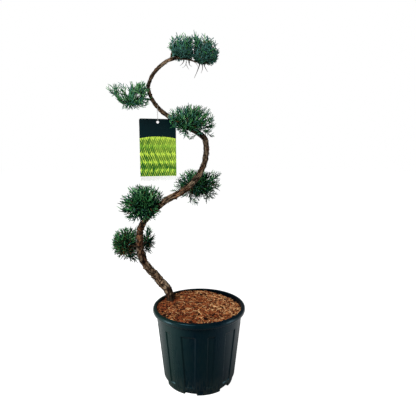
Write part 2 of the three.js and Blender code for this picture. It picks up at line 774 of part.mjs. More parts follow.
function buildLabelCard() {
  const { width, height, thick, corner, hole, holeDrop } = LABEL;
  const half = width / 2;
  const low = holeDrop - height;
  const outline = new THREE.Shape();
  outline.moveTo(-half, low);
  outline.lineTo(half, low);
  outline.lineTo(half, holeDrop - corner);
  outline.absarc(half - corner, holeDrop - corner, corner, 0, Math.PI / 2);
  outline.lineTo(corner - half, holeDrop);
  outline.absarc(corner - half, holeDrop - corner, corner, Math.PI / 2, Math.PI);
  outline.closePath();
  outline.holes.push(new THREE.Path().absarc(0, 0, hole, 0, Math.PI * 2, true));
  const options = { depth: thick, bevelEnabled: false, curveSegments: LABEL.cornerSteps };
  const geometry = new THREE.ExtrudeGeometry(outline, options);
  geometry.translate(0, 0, -thick / 2);
  const { hole: place, across, back } = labelFrame();
  const up = new THREE.Vector3(0, 0, 1);
  const upright = new THREE.Matrix4().makeBasis(across, up, back.clone().negate());
  geometry.applyMatrix4(upright.setPosition(place));
  return piece('label_card', solid(geometry), FINISH.card);
}

// The loop of thread: round the stem's slanted section at the top, and through the card's
// hole, just under its edge, at the bottom.
function buildLabelThread() {
  const { hang, hole, across, back } = labelFrame();
  const { tangent } = trunkSpine.frame(LABEL.station);
  const clear = trunkSpine.radius(LABEL.station) + THREAD.radius + THREAD.play;
  const up = new THREE.Vector3(0, 0, 1);
  const slant = new THREE.Vector2(tangent.dot(back), tangent.dot(up));
  const stretch = 1 / Math.abs(tangent.dot(across));
  const turn = slant.angle();
  const route = [];
  for (let i = 0; i < THREAD.arcPoints; i += 1) {
    const angle = (Math.PI * i) / (THREAD.arcPoints - 1) - turn;
    const long = clear * stretch * Math.cos(angle);
    const short = clear * Math.sin(angle);
    const depth = long * Math.cos(turn) - short * Math.sin(turn);
    const rise = long * Math.sin(turn) + short * Math.cos(turn);
    route.push(hang.clone().addScaledVector(back, depth).addScaledVector(up, rise));
  }
  const under = hole.clone().addScaledVector(up, LABEL.hole - THREAD.radius - 3 * GAP);
  for (const depth of THREAD_CROSSING) {
    const lift = Math.abs(depth) > LABEL.thick ? THREAD.lift : 0;
    route.push(under.clone().addScaledVector(back, depth).addScaledVector(up, lift));
  }
  const curve = new THREE.CatmullRomCurve3(route, true, 'centripetal');
  const ring = new THREE.TorusGeometry(1, 0.5, THREAD.sides, THREAD.steps);
  const position = ring.attributes.position;
  for (let i = 0; i < position.count; i += 1) {
    const column = i % (THREAD.steps + 1);
    const row = Math.floor(i / (THREAD.steps + 1));
    const place = (column % THREAD.steps) / THREAD.steps;
    const centre = curve.getPointAt(place);
    const outward = curve.getTangentAt(place).cross(across).normalize();
    const angle = (2 * Math.PI * (row % THREAD.sides)) / THREAD.sides;
    centre.addScaledVector(outward, THREAD.radius * Math.cos(angle));
    centre.addScaledVector(across, THREAD.radius * Math.sin(angle));
    position.setXYZ(i, centre.x, centre.y, centre.z);
  }
  return piece('label_thread', solid(ring), FINISH.thread);
}

const topiary = new THREE.Group();
topiary.name = 'spiral_topiary';
const grownBoughs = BOUGHS.map((bough) => boughShape(bough, GAP));
const massKeepOut = grownBoughs.reduce((whole, shape) => whole.add(shape), grownTrunk(LIMB_CLEARANCE));
topiary.add(buildPot(), buildMulch(), ...buildTrunk(), ...buildBoughs());
topiary.add(...MASSES.map((mass) => buildMass(mass, massKeepOut)));
topiary.add(buildLabelCard(), buildLabelThread());

export default topiary;
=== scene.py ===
"""Looks of a juniper that is trained as a spiral and stands in its nursery pot.

Lengths are millimetres in the classes and metres in the meshes. +Z is up, +X is to the right
and +Y to the back, with the origin at the centre of the pot's flat underside.
"""

import logging
import math
from collections.abc import Sequence
from dataclasses import dataclass, field, replace
from enum import Enum

import bpy
import numpy as np
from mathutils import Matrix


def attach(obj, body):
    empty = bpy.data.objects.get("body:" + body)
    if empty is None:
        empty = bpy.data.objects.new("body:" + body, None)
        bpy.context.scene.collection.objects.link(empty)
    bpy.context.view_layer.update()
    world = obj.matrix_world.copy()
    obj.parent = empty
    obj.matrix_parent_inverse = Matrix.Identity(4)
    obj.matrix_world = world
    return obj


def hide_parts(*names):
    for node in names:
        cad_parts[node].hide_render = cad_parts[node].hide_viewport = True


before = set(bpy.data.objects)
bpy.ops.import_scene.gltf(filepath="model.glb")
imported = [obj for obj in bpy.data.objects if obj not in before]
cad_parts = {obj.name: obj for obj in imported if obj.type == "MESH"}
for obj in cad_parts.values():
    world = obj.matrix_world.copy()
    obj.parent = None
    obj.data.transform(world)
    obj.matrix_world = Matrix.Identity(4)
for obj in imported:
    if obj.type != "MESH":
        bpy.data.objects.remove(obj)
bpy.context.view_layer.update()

LOG = logging.getLogger("topiary")

Array = np.ndarray
Socket, Node, Material = bpy.types.NodeSocket, bpy.types.Node, bpy.types.Material
Triple = tuple[float, float, float]
Pair = tuple[float, float]
Table = tuple[Pair, ...]

# Metres in a millimetre, and the room in millimetres that neighbouring solids keep.
MM = 0.001
GAP = 0.3
# Where the picture was taken from, in millimetres.
VIEWPOINT: Triple = (30.0, -1229.0, 779.0)
# Noise on flat ground repeats after this many cells, which is past its edge.
NO_REPEAT = 997
# How far a square's corners lie out, for a half width of 1.
SQUARE_CORNER = 1.4
GOLDEN_ANGLE = math.pi * (3 - math.sqrt(5))
THIRDS = np.radians([0, 120, 240])[:, None]
UP = np.array([0.0, 0.0, 1.0])
WHITE: Triple = (1.0, 1.0, 1.0)
NO_FACES = np.empty((0, 4), int)


# Numbers and curves that several pieces share.


def chance(seed: float | Array, count: float | Array) -> Array:
    """Repeatable numbers from 0 to 1: the fraction of 43758.5453 sin(12.9898 seed + 78.233 count).

    Args:
        seed: One seed or an array of them.
        count: One count or an array of them.

    Returns:
        An array of the two arguments' common shape.
    """
    wave = np.sin(np.asarray(seed) * 12.9898 + np.asarray(count) * 78.233) * 43758.5453
    return wave - np.floor(wave)


def unit(vectors: Array) -> Array:
    """Vectors of the same directions and of length 1."""
    return vectors / np.maximum(np.linalg.norm(vectors, axis=-1, keepdims=True), 1e-12)


def lerp(low: float | Array, high: float | Array, share: float | Array) -> float | Array:
    """The value that lies a share of the way from low to high."""
    return low + (high - low) * share


def smoothstep(value: Array, low: float, high: float) -> Array:
    """A smooth rise from 0 at low to 1 at high: 3 t squared less 2 t cubed."""
    share = np.clip((value - low) / (high - low), 0, 1)
    return share * share * (3 - 2 * share)


def read_table(table: Table, places: Array) -> Array:
    """Values at places, straight between the table's rows of a place and a value."""
    return np.interp(places, *zip(*table))


def value_noise(across: Array, along: Array, columns: int, seed: float) -> Array:
    """Smooth noise from 0 to 1 that repeats after a number of cells across.

    Chance numbers at the corners of each cell are blended by a smoothstep in both directions.

    Args:
        across: Places in cells, on the axis that repeats.
        along: Places in cells, on the other axis.
        columns: Cells until the noise repeats.
        seed: Seed of the chance numbers.

    Returns:
        An array of the places' shape.
    """
    low_a, low_b = np.floor(across), np.floor(along)
    share_a, share_b = smoothstep(across - low_a, 0, 1), smoothstep(along - low_b, 0, 1)

    def corner(step_a: int, step_b: int) -> Array:
        """The chance number at one corner of each place's cell."""
        return chance(seed + (low_b + step_b) * 0.37, np.mod(low_a + step_a, columns))

    near = lerp(corner(0, 0), corner(1, 0), share_a)
    far = lerp(corner(0, 1), corner(1, 1), share_a)
    return lerp(near, far, share_b)


def cross_frame(directions: Array, guide: Triple = (0.31, 0.12, 0.94)) -> tuple[Array, Array]:
    """Two unit vectors that stand square on each direction and on each other.

    Args:
        directions: Unit vectors in the last axis.
        guide: A direction that none of them has.

    Returns:
        The first and the second vector, so that first x second is the direction.
    """
    first = unit(np.cross(directions, np.asarray(guide)))
    return first, np.cross(directions, first)


def even_turns(count: int) -> Array:
    """Angles that share out a full turn evenly, from 0."""
    return np.linspace(0, 2 * math.pi, count, endpoint=False)


def circle(first: Array, second: Array, turn: Array) -> Array:
    """Vectors that lie at angles in the plane of two others: first cos a + second sin a."""
    return first * np.cos(turn) + second * np.sin(turn)


def lathe(radius: Array, turn: Array, height: Array) -> Array:
    """Points round the upright axis: (r cos a, r sin a, z)."""
    return np.stack([radius * np.cos(turn), radius * np.sin(turn), height], axis=-1)


def end_points(centre: Array, first: Array, last: Array, out: Pair) -> Array:
    """The two points that close tubes, a little way out of each end of their middle line."""
    return np.stack([centre[:, 0] - first * out[0], centre[:, -1] + last * out[1]], axis=1)


def square_rings(spine: Array, first: Array, second: Array, wide: Array, thick: Array) -> Array:
    """Rings of four corners round the points of slivers.

    Args:
        spine: The points, as (sliver, row, axis).
        first: The direction of each sliver's width.
        second: The direction of its thickness.
        wide: Half the width, as (sliver, row).
        thick: Half the thickness, as (sliver, row).

    Returns:
        Points as (sliver, row, corner, axis).
    """
    corner = np.radians([45, 135, 225, 315])
    across = (wide[..., None] * np.cos(corner) * SQUARE_CORNER)[..., None]
    over = (thick[..., None] * np.sin(corner) * SQUARE_CORNER)[..., None]
    return spine[:, :, None] + first[:, None, None] * across + second[:, None, None] * over


class Route:
    """A smooth curve through stations, with a width at each and frames carried along it.

    Between two stations it is a cubic whose end slopes are half the span of their neighbours.
    Places are counted in stations, so 2.5 lies halfway between the third and the fourth.
    """

    STEPS = 12

    def __init__(self, stations: Sequence[Triple], widths: Sequence[float]) -> None:
        """Keeps the stations and carries a frame along the curve without twist."""
        self.stations = np.asarray(stations, float)
        self.widths = np.asarray(widths, float)
        self.last = len(self.stations) - 1
        self._places = np.linspace(0, self.last, self.last * self.STEPS + 1)
        tangents = self.tangent(self._places)
        normal = unit(np.array([0.0, 1.0, 0.0]) - tangents[0, 1] * tangents[0])
        normals = []
        for tangent in tangents:
            normal = unit(normal - (normal @ tangent) * tangent)
            normals.append(normal)
        self._normals = np.array(normals)
        steps = np.linalg.norm(np.diff(self.point(self._places), axis=0), axis=1)
        self.lengths = np.concatenate([[0.0], np.cumsum(steps)])

    def _span(self, places: Array) -> tuple[Array, Array, Array, Array, Array]:
        """The share within a span, its two stations and the slopes at them, for each place."""
        low = np.clip(np.floor(places).astype(int), 0, self.last - 1)
        ends = self.stations
        padded = np.vstack([2 * ends[0] - ends[1], ends, 2 * ends[-1] - ends[-2]])
        before, start, end, after = (padded[low + step] for step in range(4))
        return (places - low)[..., None], start, end, (end - before) / 2, (after - start) / 2

    def point(self, places: Array) -> Array:
        """Points of the curve: the cubic with the span's ends and slopes."""
        t, start, end, leave, arrive = self._span(np.asarray(places, float))
        bend = 3 * (end - start) - 2 * leave - arrive
        return start + t * leave + t**2 * bend + t**3 * (2 * (start - end) + leave + arrive)

    def tangent(self, places: Array) -> Array:
        """Unit directions of the curve: the cubic's slope."""
        t, start, end, leave, arrive = self._span(np.asarray(places, float))
        bend = 3 * (end - start) - 2 * leave - arrive
        return unit(leave + 2 * t * bend + 3 * t**2 * (2 * (start - end) + leave + arrive))

    def radius(self, places: Array) -> Array:
        """Half the width, which changes evenly between the stations."""
        return np.interp(places, np.arange(self.last + 1), self.widths) / 2

    def frame(self, places: Array) -> tuple[Array, Array, Array]:
        """The tangent with two vectors square on it, normal and side, at each place."""
        tangent = self.tangent(places)
        normal = np.stack(
            [np.interp(places, self._places, self._normals[:, axis]) for axis in range(3)], axis=-1
        )
        normal = unit(normal - np.sum(normal * tangent, axis=-1, keepdims=True) * tangent)
        return tangent, normal, np.cross(tangent, normal)

    def place_at(self, length: Array) -> Array:
        """Places that lie a length in millimetres along the curve."""
        return np.interp(length, self.lengths, self._places)

    def balls(self, per_station: int) -> tuple[Array, Array]:
        """Centres and radii of balls along the curve, a number of them to each span."""
        places = np.linspace(0, self.last, self.last * per_station + 1)
        return self.point(places), self.radius(places)


# Faces of surfaces on grids, and the meshes that they are put into.


def tube_faces(rows: int, columns: int) -> tuple[Array, Array]:
    """Faces of a closed tube: rows of points round it, then one point at each end.

    Args:
        rows: Rings along the tube.
        columns: Points round each ring, counted from the normal to the side.

    Returns:
        Quads between the rings, and the triangles of the two ends.
    """
    row, column = np.meshgrid(np.arange(rows - 1), np.arange(columns), indexing="ij")
    after = (column + 1) % columns
    corners = [row * columns + column, row * columns + after]
    corners += [(row + 1) * columns + after, (row + 1) * columns + column]
    quads = np.stack(corners, axis=-1).reshape(-1, 4)
    turn = np.arange(columns)
    onward, top = (turn + 1) % columns, (rows - 1) * columns
    foot = np.stack([np.full(columns, rows * columns), onward, turn], axis=-1)
    tip = np.stack([np.full(columns, rows * columns + 1), top + turn, top + onward], axis=-1)
    return quads, np.concatenate([foot, tip])


@dataclass
class Skin:
    """Closed shells gathered as arrays of points, in millimetres, and faces with tones."""

    points: list[Array] = field(default_factory=list)
    quads: list[Array] = field(default_factory=list)
    triangles: list[Array] = field(default_factory=list)
    quad_tones: list[Array] = field(default_factory=list)
    triangle_tones: list[Array] = field(default_factory=list)
    layers: dict[str, list[Array]] = field(default_factory=dict)
    size: int = 0

    def add(
        self, points: Array, quads: Array, triangles: Array, tone: int = 0, **layers: Array
    ) -> None:
        """Adds one shell.

        Args:
            points: Its points, one a row.
            quads: Its faces with four corners, as places in points.
            triangles: Its faces with three corners.
            tone: Which of the piece's materials it wears.
            **layers: Values or vectors for each point, kept as attributes of the mesh.
        """
        self.add_copies(points[None], quads, triangles, np.array([tone]), **layers)

    def add_copies(
        self, points: Array, quads: Array, triangles: Array, tones: Array, **layers: Array
    ) -> None:
        """Adds many shells with the same faces.

        Args:
            points: Points as (shell, point, axis).
            quads: Faces with four corners, of one shell.
            triangles: Faces with three corners, of one shell.
            tones: Which of the piece's materials each shell wears.
            **layers: Values or vectors for each point of all the shells.
        """
        count, each = points.shape[:2]
        shift = self.size + np.arange(count)[:, None, None] * each
        for kept, kept_tones, faces in (
            (self.quads, self.quad_tones, np.asarray(quads, int).reshape(-1, 4)),
            (self.triangles, self.triangle_tones, np.asarray(triangles, int).reshape(-1, 3)),
        ):
            kept.append((faces[None] + shift).reshape(-1, faces.shape[1]))
            kept_tones.append(np.repeat(tones, len(faces)))
        self.points.append(points.reshape(-1, 3))
        for name, values in layers.items():
            self.layers.setdefault(name, []).append(values)
        self.size += count * each

    def add_faces(self, triangles: Array, tone: int) -> None:
        """Adds triangles of another tone, as places counted from the skin's last point on."""
        self.triangles.append(triangles + self.size)
        self.triangle_tones.append(np.full(len(triangles), tone))

    def add_tubes(
        self, rings: Array, poles: Array, tones: Array, flipped: bool = False, **layers: Array
    ) -> None:
        """Adds closed tubes.

        Args:
            rings: Points as (tube, row, column, axis).
            poles: The points that close each tube's two ends, as (tube, end, axis).
            tones: Which of the piece's materials each tube wears.
            flipped: True where the rings run the other way round.
            **layers: Values or vectors for each point of all the tubes, a tube's rings first.
        """
        count, rows, columns = rings.shape[:3]
        points = np.concatenate([rings.reshape(count, -1, 3), poles], axis=1)
        order = slice(None, None, -1 if flipped else None)
        quads, triangles = (faces[:, order] for faces in tube_faces(rows, columns))
        self.add_copies(points, quads, triangles, tones, **layers)

    def add_tube(self, ring: Array, poles: Array, tone: int = 0, **layers: Array) -> None:
        """Adds one closed tube, with its points as (row, column, axis) and its two poles."""
        self.add_tubes(ring[None], poles[None], np.array([tone]), **layers)

    def piece(
        self, name: str, materials: Sequence[Material], sharp: float | None
    ) -> bpy.types.Object:
        """Puts the skin into a mesh object at the origin.

        Args:
            name: The object's name.
            materials: Its materials, in the order of the tones.
            sharp: Angle in degrees past which an edge stays sharp, or None for flat faces.

        Returns:
            The object.
        """
        mesh = bpy.data.meshes.new(name)
        quads, triangles = np.concatenate(self.quads), np.concatenate(self.triangles)
        corners = np.concatenate([quads.ravel(), triangles.ravel()]).astype(np.int32)
        starts = np.arange(len(quads) + len(triangles)) * 4
        starts[len(quads):] = len(quads) * 4 + np.arange(len(triangles)) * 3
        mesh.vertices.add(self.size)
        mesh.vertices.foreach_set("co", (np.concatenate(self.points) * MM).ravel())
        mesh.loops.add(len(corners))
        mesh.loops.foreach_set("vertex_index", corners)
        mesh.polygons.add(len(starts))
        mesh.polygons.foreach_set("loop_start", starts.astype(np.int32))
        tones = np.concatenate(self.quad_tones + self.triangle_tones).astype(np.int32)
        mesh.polygons.foreach_set("material_index", tones)
        mesh.polygons.foreach_set("use_smooth", np.full(len(starts), sharp is not None))
        mesh.update(calc_edges=True)
        for material in materials:
            mesh.materials.append(material)
        for layer, values in self.layers.items():
            data = np.concatenate(values).astype(np.float32)
            kind, key = ("FLOAT_VECTOR", "vector") if data.ndim == 2 else ("FLOAT", "value")
            mesh.attributes.new(layer, kind, "POINT").data.foreach_set(key, data.ravel())
        if sharp is not None:
            mesh.set_sharp_from_angle(angle=math.radians(sharp))
        mesh.validate()
        piece = bpy.data.objects.new(name, mesh)
        bpy.context.scene.collection.objects.link(piece)
        return piece


def mount(piece: bpy.types.Object, slot: str, *nodes: str) -> None:
    """Lets a piece ride on the plant's one body, and hides the nodes it stands for."""
    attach(piece, "root")
    if nodes:
        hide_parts(*nodes)
    faces = sum(len(face.vertices) - 2 for face in piece.data.polygons)
    LOG.info("%s: %d triangles", piece.name, faces)


# Finishes. A group puts out masks and heights, and the shader stays in the material.


class Nodes:
    """A short way to place nodes in a tree and to link them."""

    def __init__(self, tree: bpy.types.NodeTree) -> None:
        """Keeps the tree that the nodes go into."""
        self.tree = tree

    def give(self, entry: Socket, value: object) -> None:
        """Links a socket to a node's entry, or sets a value on it. A colour is three numbers."""
        if isinstance(value, Socket):
            self.tree.links.new(value, entry)
        else:
            entry.default_value = (*value, 1.0) if entry.type == "RGBA" else value

    def add(
        self, kind: str, values: dict[str | int, object] | None = None, **settings: object
    ) -> Node:
        """Places a node.

        Args:
            kind: The node's type.
            values: Values or sockets for its inputs, by name or by number.
            **settings: The node's own settings.

        Returns:
            The node.
        """
        node = self.tree.nodes.new(kind)
        for name, value in settings.items():
            setattr(node, name, value)
        for name, value in (values or {}).items():
            self.give(node.inputs[name], value)
        return node

    def math(self, operation: str, *values: object) -> Socket:
        """The result of a Math node on numbers or sockets."""
        return self.add("ShaderNodeMath", dict(enumerate(values)), operation=operation).outputs[0]

    def spread(
        self, value: object, low: float, high: float, most: float = 1.0, smooth: bool = False
    ) -> Socket:
        """A rise from 0 where the value is low to most where it is high."""
        span = {"Value": value, "From Min": low, "From Max": high, "To Max": most}
        kind = "SMOOTHSTEP" if smooth else "LINEAR"
        return self.add("ShaderNodeMapRange", span, interpolation_type=kind).outputs[0]

    def ramp(self, factor: object, *stops: tuple[float, Triple]) -> Socket:
        """Colours blended along a factor, from stops of a place and a colour."""
        node = self.add("ShaderNodeValToRGB", {"Fac": factor})
        elements = node.color_ramp.elements
        while len(elements) < len(stops):
            elements.new(0.5)
        for element, (place, colour) in zip(elements, stops):
            element.position = place
            element.color = (*colour, 1.0)
        return node.outputs["Color"]

    def mix(self, factor: object, first: object, second: object) -> Socket:
        """A blend of two colours, each a socket or three numbers."""
        values = {0: factor, 6: first, 7: second}
        return self.add("ShaderNodeMix", values, data_type="RGBA").outputs[2]

    def noise(self, place: Socket, scale: object, detail: float, rough: float) -> Socket:
        """Smooth noise from 0 to 1."""
        values = {"Vector": place, "Scale": scale, "Detail": detail, "Roughness": rough}
        return self.add("ShaderNodeTexNoise", values).outputs[0]

    def layer(self, name: str, output: str = "Fac") -> Socket:
        """A layer of the mesh, as a value or as a vector."""
        return self.add("ShaderNodeAttribute", attribute_name=name).outputs[output]

    def bump(self, height: Socket, strength: float, depth: float) -> Socket:
        """Relief from a height, with the depth in metres."""
        values = {"Height": height, "Strength": strength, "Distance": depth}
        return self.add("ShaderNodeBump", values).outputs[0]

    def place(self) -> Socket:
        """The coordinates of the object, which are metres in the shared frame."""
        return self.add("ShaderNodeTexCoord").outputs["Object"]

    def normal(self) -> Socket:
        """The direction that the surface faces."""
        return self.add("ShaderNodeNewGeometry").outputs["Normal"]

    def axis(self, vector: Socket, name: str) -> Socket:
        """The part of a vector along one axis."""
        return self.add("ShaderNodeSeparateXYZ", {0: vector}).outputs[name]


class Group(Enum):
    """Effects that more than one material uses, each a node group that is built once.

    A member's values are its name, and the noise values where its mask begins and is full.
    """

    FIBRE = ("long_fibres", 0.38, 0.62)
    MOTTLE = ("soft_mottling", 0.3, 0.72)

    def tree(self) -> bpy.types.NodeTree:
        """The group's tree, made at its first use."""
        name, low, high = self.value
        known = bpy.data.node_groups.get(name)
        if known:
            return known
        tree = bpy.data.node_groups.new(name, "ShaderNodeTree")
        for socket, kind in (("Place", "Vector"), ("Scale", "Float"), ("Stretch", "Float")):
            tree.interface.new_socket(socket, in_out="INPUT", socket_type=f"NodeSocket{kind}")
        for socket in ("Mask", "Height"):
            tree.interface.new_socket(socket, in_out="OUTPUT", socket_type="NodeSocketFloat")
        nodes = Nodes(tree)
        given = nodes.add("NodeGroupInput").outputs
        squeeze = nodes.add("ShaderNodeCombineXYZ", {0: 1.0, 1: 1.0, 2: given["Stretch"]})
        product = {0: given["Place"], 1: squeeze.outputs[0]}
        place = nodes.add("ShaderNodeVectorMath", product, operation="MULTIPLY").outputs[0]
        coarse = nodes.noise(place, given["Scale"], 4.0, 0.5)
        fine = nodes.noise(place, nodes.math("MULTIPLY", given["Scale"], 3.7), 2.0, 0.6)
        mask = nodes.spread(coarse, low, high, smooth=True)
        height = nodes.math("MULTIPLY_ADD", fine, 0.4, mask)
        nodes.add("NodeGroupOutput", {"Mask": mask, "Height": height})
        return tree

    def place(
        self, nodes: Nodes, place: object, scale: float, stretch: float
    ) -> tuple[Socket, Socket]:
        """Puts the group into a material.

        Args:
            nodes: The material's nodes.
            place: Socket with the coordinates that the pattern follows.
            scale: Noise cells to a metre.
            stretch: How much the third axis is squeezed, where below 1 draws the pattern out.

        Returns:
            The group's mask and its height.
        """
        values = {"Place": place, "Scale": scale, "Stretch": stretch}
        node = nodes.add("ShaderNodeGroup", values, node_tree=self.tree())
        return node.outputs["Mask"], node.outputs["Height"]


@dataclass(frozen=True)
class Finish:
    """What every finish has: a name, and a way to make its material once."""

    name: str

    def material(self) -> Material:
        """The finish's material, made at its first use."""
        known = bpy.data.materials.get(self.name)
        if known:
            return known
        material = bpy.data.materials.new(self.name)
        material.use_nodes = True
        material.node_tree.nodes.clear()
        nodes = Nodes(material.node_tree)
        shader = nodes.add("ShaderNodeBsdfPrincipled", self.dress(nodes))
        nodes.add("ShaderNodeOutputMaterial", {"Surface": shader.outputs[0]})
        return material

    def dress(self, nodes: Nodes) -> dict[str, object]:
        """The shader's entries: its colours, roughness and relief. Each finish has its own."""
        raise NotImplementedError


@dataclass(frozen=True)
class PlainTone(Finish):
    """One plain colour of a thing that is dealt out in several, such as sprays or chips."""

    colour: Triple
    roughness: float = 0.6
    specular: float = 0.3

    def dress(self, nodes: Nodes) -> dict[str, object]:
        """The plain colour with its roughness and shine."""
        plain = {"Base Color": self.colour, "Roughness": self.roughness}
        return plain | {"Specular IOR Level": self.specular}


@dataclass(frozen=True)
class PotPlastic(Finish):
    """Dark blue-green moulded plastic: a low gloss, faint flow lines, scuffs and dust, with painted
    light on its left side and painted shade on its inward faces.
    """

    dark: Triple = (0.0001, 0.004, 0.0085)
    light: Triple = (0.003, 0.0135, 0.0105)
    # Painted shade: the colour of the faces that turn inwards, inside the pot and under it.
    inside: Triple = (0.0001, 0.0016, 0.0035)
    dust: Triple = (0.05, 0.052, 0.036)
    tint: Triple = (0.2, 0.55, 0.72)
    index: float = 1.25
    dusty_below: float = 0.07
    painted_light_side: Pair = (-0.01, -0.09)
    mottle_and_painted_light_by: Pair = (0.3, 0.7)
    scuffed: float = 0.03
    dusted: float = 0.3
    smooth: float = 0.25
    rougher: Pair = (0.08, 0.06)

    def dress(self, nodes: Nodes) -> dict[str, object]:
        """Mottled dark plastic with dust low down, painted lighter on the left side as painted
        light and darker on its inward faces as painted shade.
        """
        place = nodes.place()
        flow, _ = Group.MOTTLE.place(nodes, place, 22.0, 0.25)
        scuff, grain = Group.FIBRE.place(nodes, place, 260.0, 0.12)
        low = nodes.spread(nodes.axis(place, "Z"), self.dusty_below, 0.0)
        # Painted light: the plastic is painted lighter towards the left side.
        side = nodes.spread(nodes.axis(place, "X"), *self.painted_light_side)
        by_flow, by_painted_light = self.mottle_and_painted_light_by
        mottle_and_painted_light = nodes.math("MULTIPLY_ADD", flow, by_flow, nodes.math("MULTIPLY", side, by_painted_light))
        dusty = nodes.math("MULTIPLY", nodes.math("MULTIPLY", low, scuff), self.dusted)
        worn = nodes.math("MULTIPLY_ADD", scuff, self.scuffed, dusty)
        colour = nodes.mix(worn, nodes.mix(mottle_and_painted_light, self.dark, self.light), self.dust)
        # Painted shade: faces that turn in towards the axis take the dark inside colour.
        outward = {0: nodes.normal(), 1: place}
        outward = nodes.add("ShaderNodeVectorMath", outward, operation="DOT_PRODUCT")
        within = nodes.math("LESS_THAN", outward.outputs["Value"], 0.0)
        colour = nodes.mix(within, colour, self.inside)
        rough = nodes.math("MULTIPLY_ADD", flow, self.rougher[0], self.smooth)
        rough = nodes.math("MULTIPLY_ADD", scuff, self.rougher[1], rough)
        return {
            "Base Color": colour,
            "Roughness": rough,
            "IOR": self.index,
            "Specular Tint": self.tint,
            "Normal": nodes.bump(grain, 0.12, 0.0004),
        }


@dataclass(frozen=True)
class StringyBark(Finish):
    """Juniper bark: grey-brown strings with dark splits and patches of red-brown under them.

    The mesh's layer warmth draws the patches, and past bare_warmth the strings are off.
    """

    split: Triple = (0.005, 0.004, 0.003)
    string: Triple = (0.074, 0.051, 0.03)
    pale: Triple = (0.33, 0.25, 0.165)
    red: Triple = (0.2, 0.08, 0.035)
    copper: Triple = (0.37, 0.2, 0.105)
    split_to: float = 0.28
    string_at: float = 0.55
    red_at: float = 0.66
    relief_share: float = 0.7
    fibre_share: float = 0.34
    bare_warmth: float = 1.5
    # Painted shade: how dark the bark is painted where it turns away from view, and on its
    # underside.
    edge: float = 0.9
    underside_shade: float = 0.5
    shine: float = 0.06

    def dress(self, nodes: Nodes) -> dict[str, object]:
        """Colours by the relief and by long fibres, with painted shade at the edges, on the
        underside and where the gloom layer says.
        """
        place, warm = nodes.layer("along_limb", "Vector"), nodes.layer("warmth")
        fibre, height = Group.FIBRE.place(nodes, place, 330.0, 0.09)
        patch, _ = Group.MOTTLE.place(nodes, place, 42.0, 0.5)
        raised = nodes.math("MULTIPLY", nodes.layer("relief"), self.relief_share)
        grain = nodes.math("MULTIPLY_ADD", fibre, self.fibre_share, raised)
        split = (self.split_to, self.split)
        strings = nodes.ramp(grain, split, (self.string_at, self.string), (1.0, self.pale))
        reddish = nodes.ramp(grain, split, (self.red_at, self.red), (1.0, self.copper))
        bare = nodes.math("SUBTRACT", warm, self.bare_warmth)
        red = nodes.math("MAXIMUM", nodes.math("MULTIPLY", patch, warm), bare)
        # Painted shade: darker at grazing angles, on faces that look down, and by the gloom layer.
        facing = nodes.add("ShaderNodeLayerWeight", {"Blend": 0.5}).outputs["Facing"]
        edge_shade = nodes.spread(facing, 0.1, 0.55, self.edge, smooth=True)
        under = nodes.spread(nodes.axis(nodes.normal(), "Z"), -0.05, -0.65, self.underside_shade)
        shaded = nodes.math("MAXIMUM", nodes.math("MAXIMUM", edge_shade, under), nodes.layer("gloom"))
        colour = nodes.mix(shaded, nodes.mix(red, strings, reddish), self.split)
        rough = nodes.math("MULTIPLY_ADD", grain, -0.12, 0.92)
        return {
            "Base Color": colour,
            "Roughness": rough,
            "Specular IOR Level": self.shine,
            "Normal": nodes.bump(height, 0.9, 0.0014),
        }


@dataclass(frozen=True)
class TwoTones(Finish):
    """Two tones blended by fine mottling, with relief where a depth is given."""

    first: Triple
    second: Triple
    scale: float
    stretch: float
    roughness: float
    specular: float = 0.5
    depth: float = 0.0

    def dress(self, nodes: Nodes) -> dict[str, object]:
        """The blend, and a rough relief of the same mottling."""
        blend, height = Group.MOTTLE.place(nodes, nodes.place(), self.scale, self.stretch)
        colour = nodes.mix(blend, self.first, self.second)
        entries = {"Base Color": colour, "Roughness": self.roughness}
        if self.depth:
            entries["Normal"] = nodes.bump(height, 0.9, self.depth)
        return entries | {"Specular IOR Level": self.specular}


# Damp brown compost and coir between the chips, and pale thread with faint soiling along it.
SOIL = TwoTones(
    "root_ball_soil", (0.02, 0.009, 0.005), (0.12, 0.048, 0.022), 310.0, 1.0, 0.95, 0.2, 0.002
)
YARN = TwoTones("thread_yarn", (0.72, 0.73, 0.71), (0.48, 0.47, 0.42), 400.0, 0.5, 0.7)


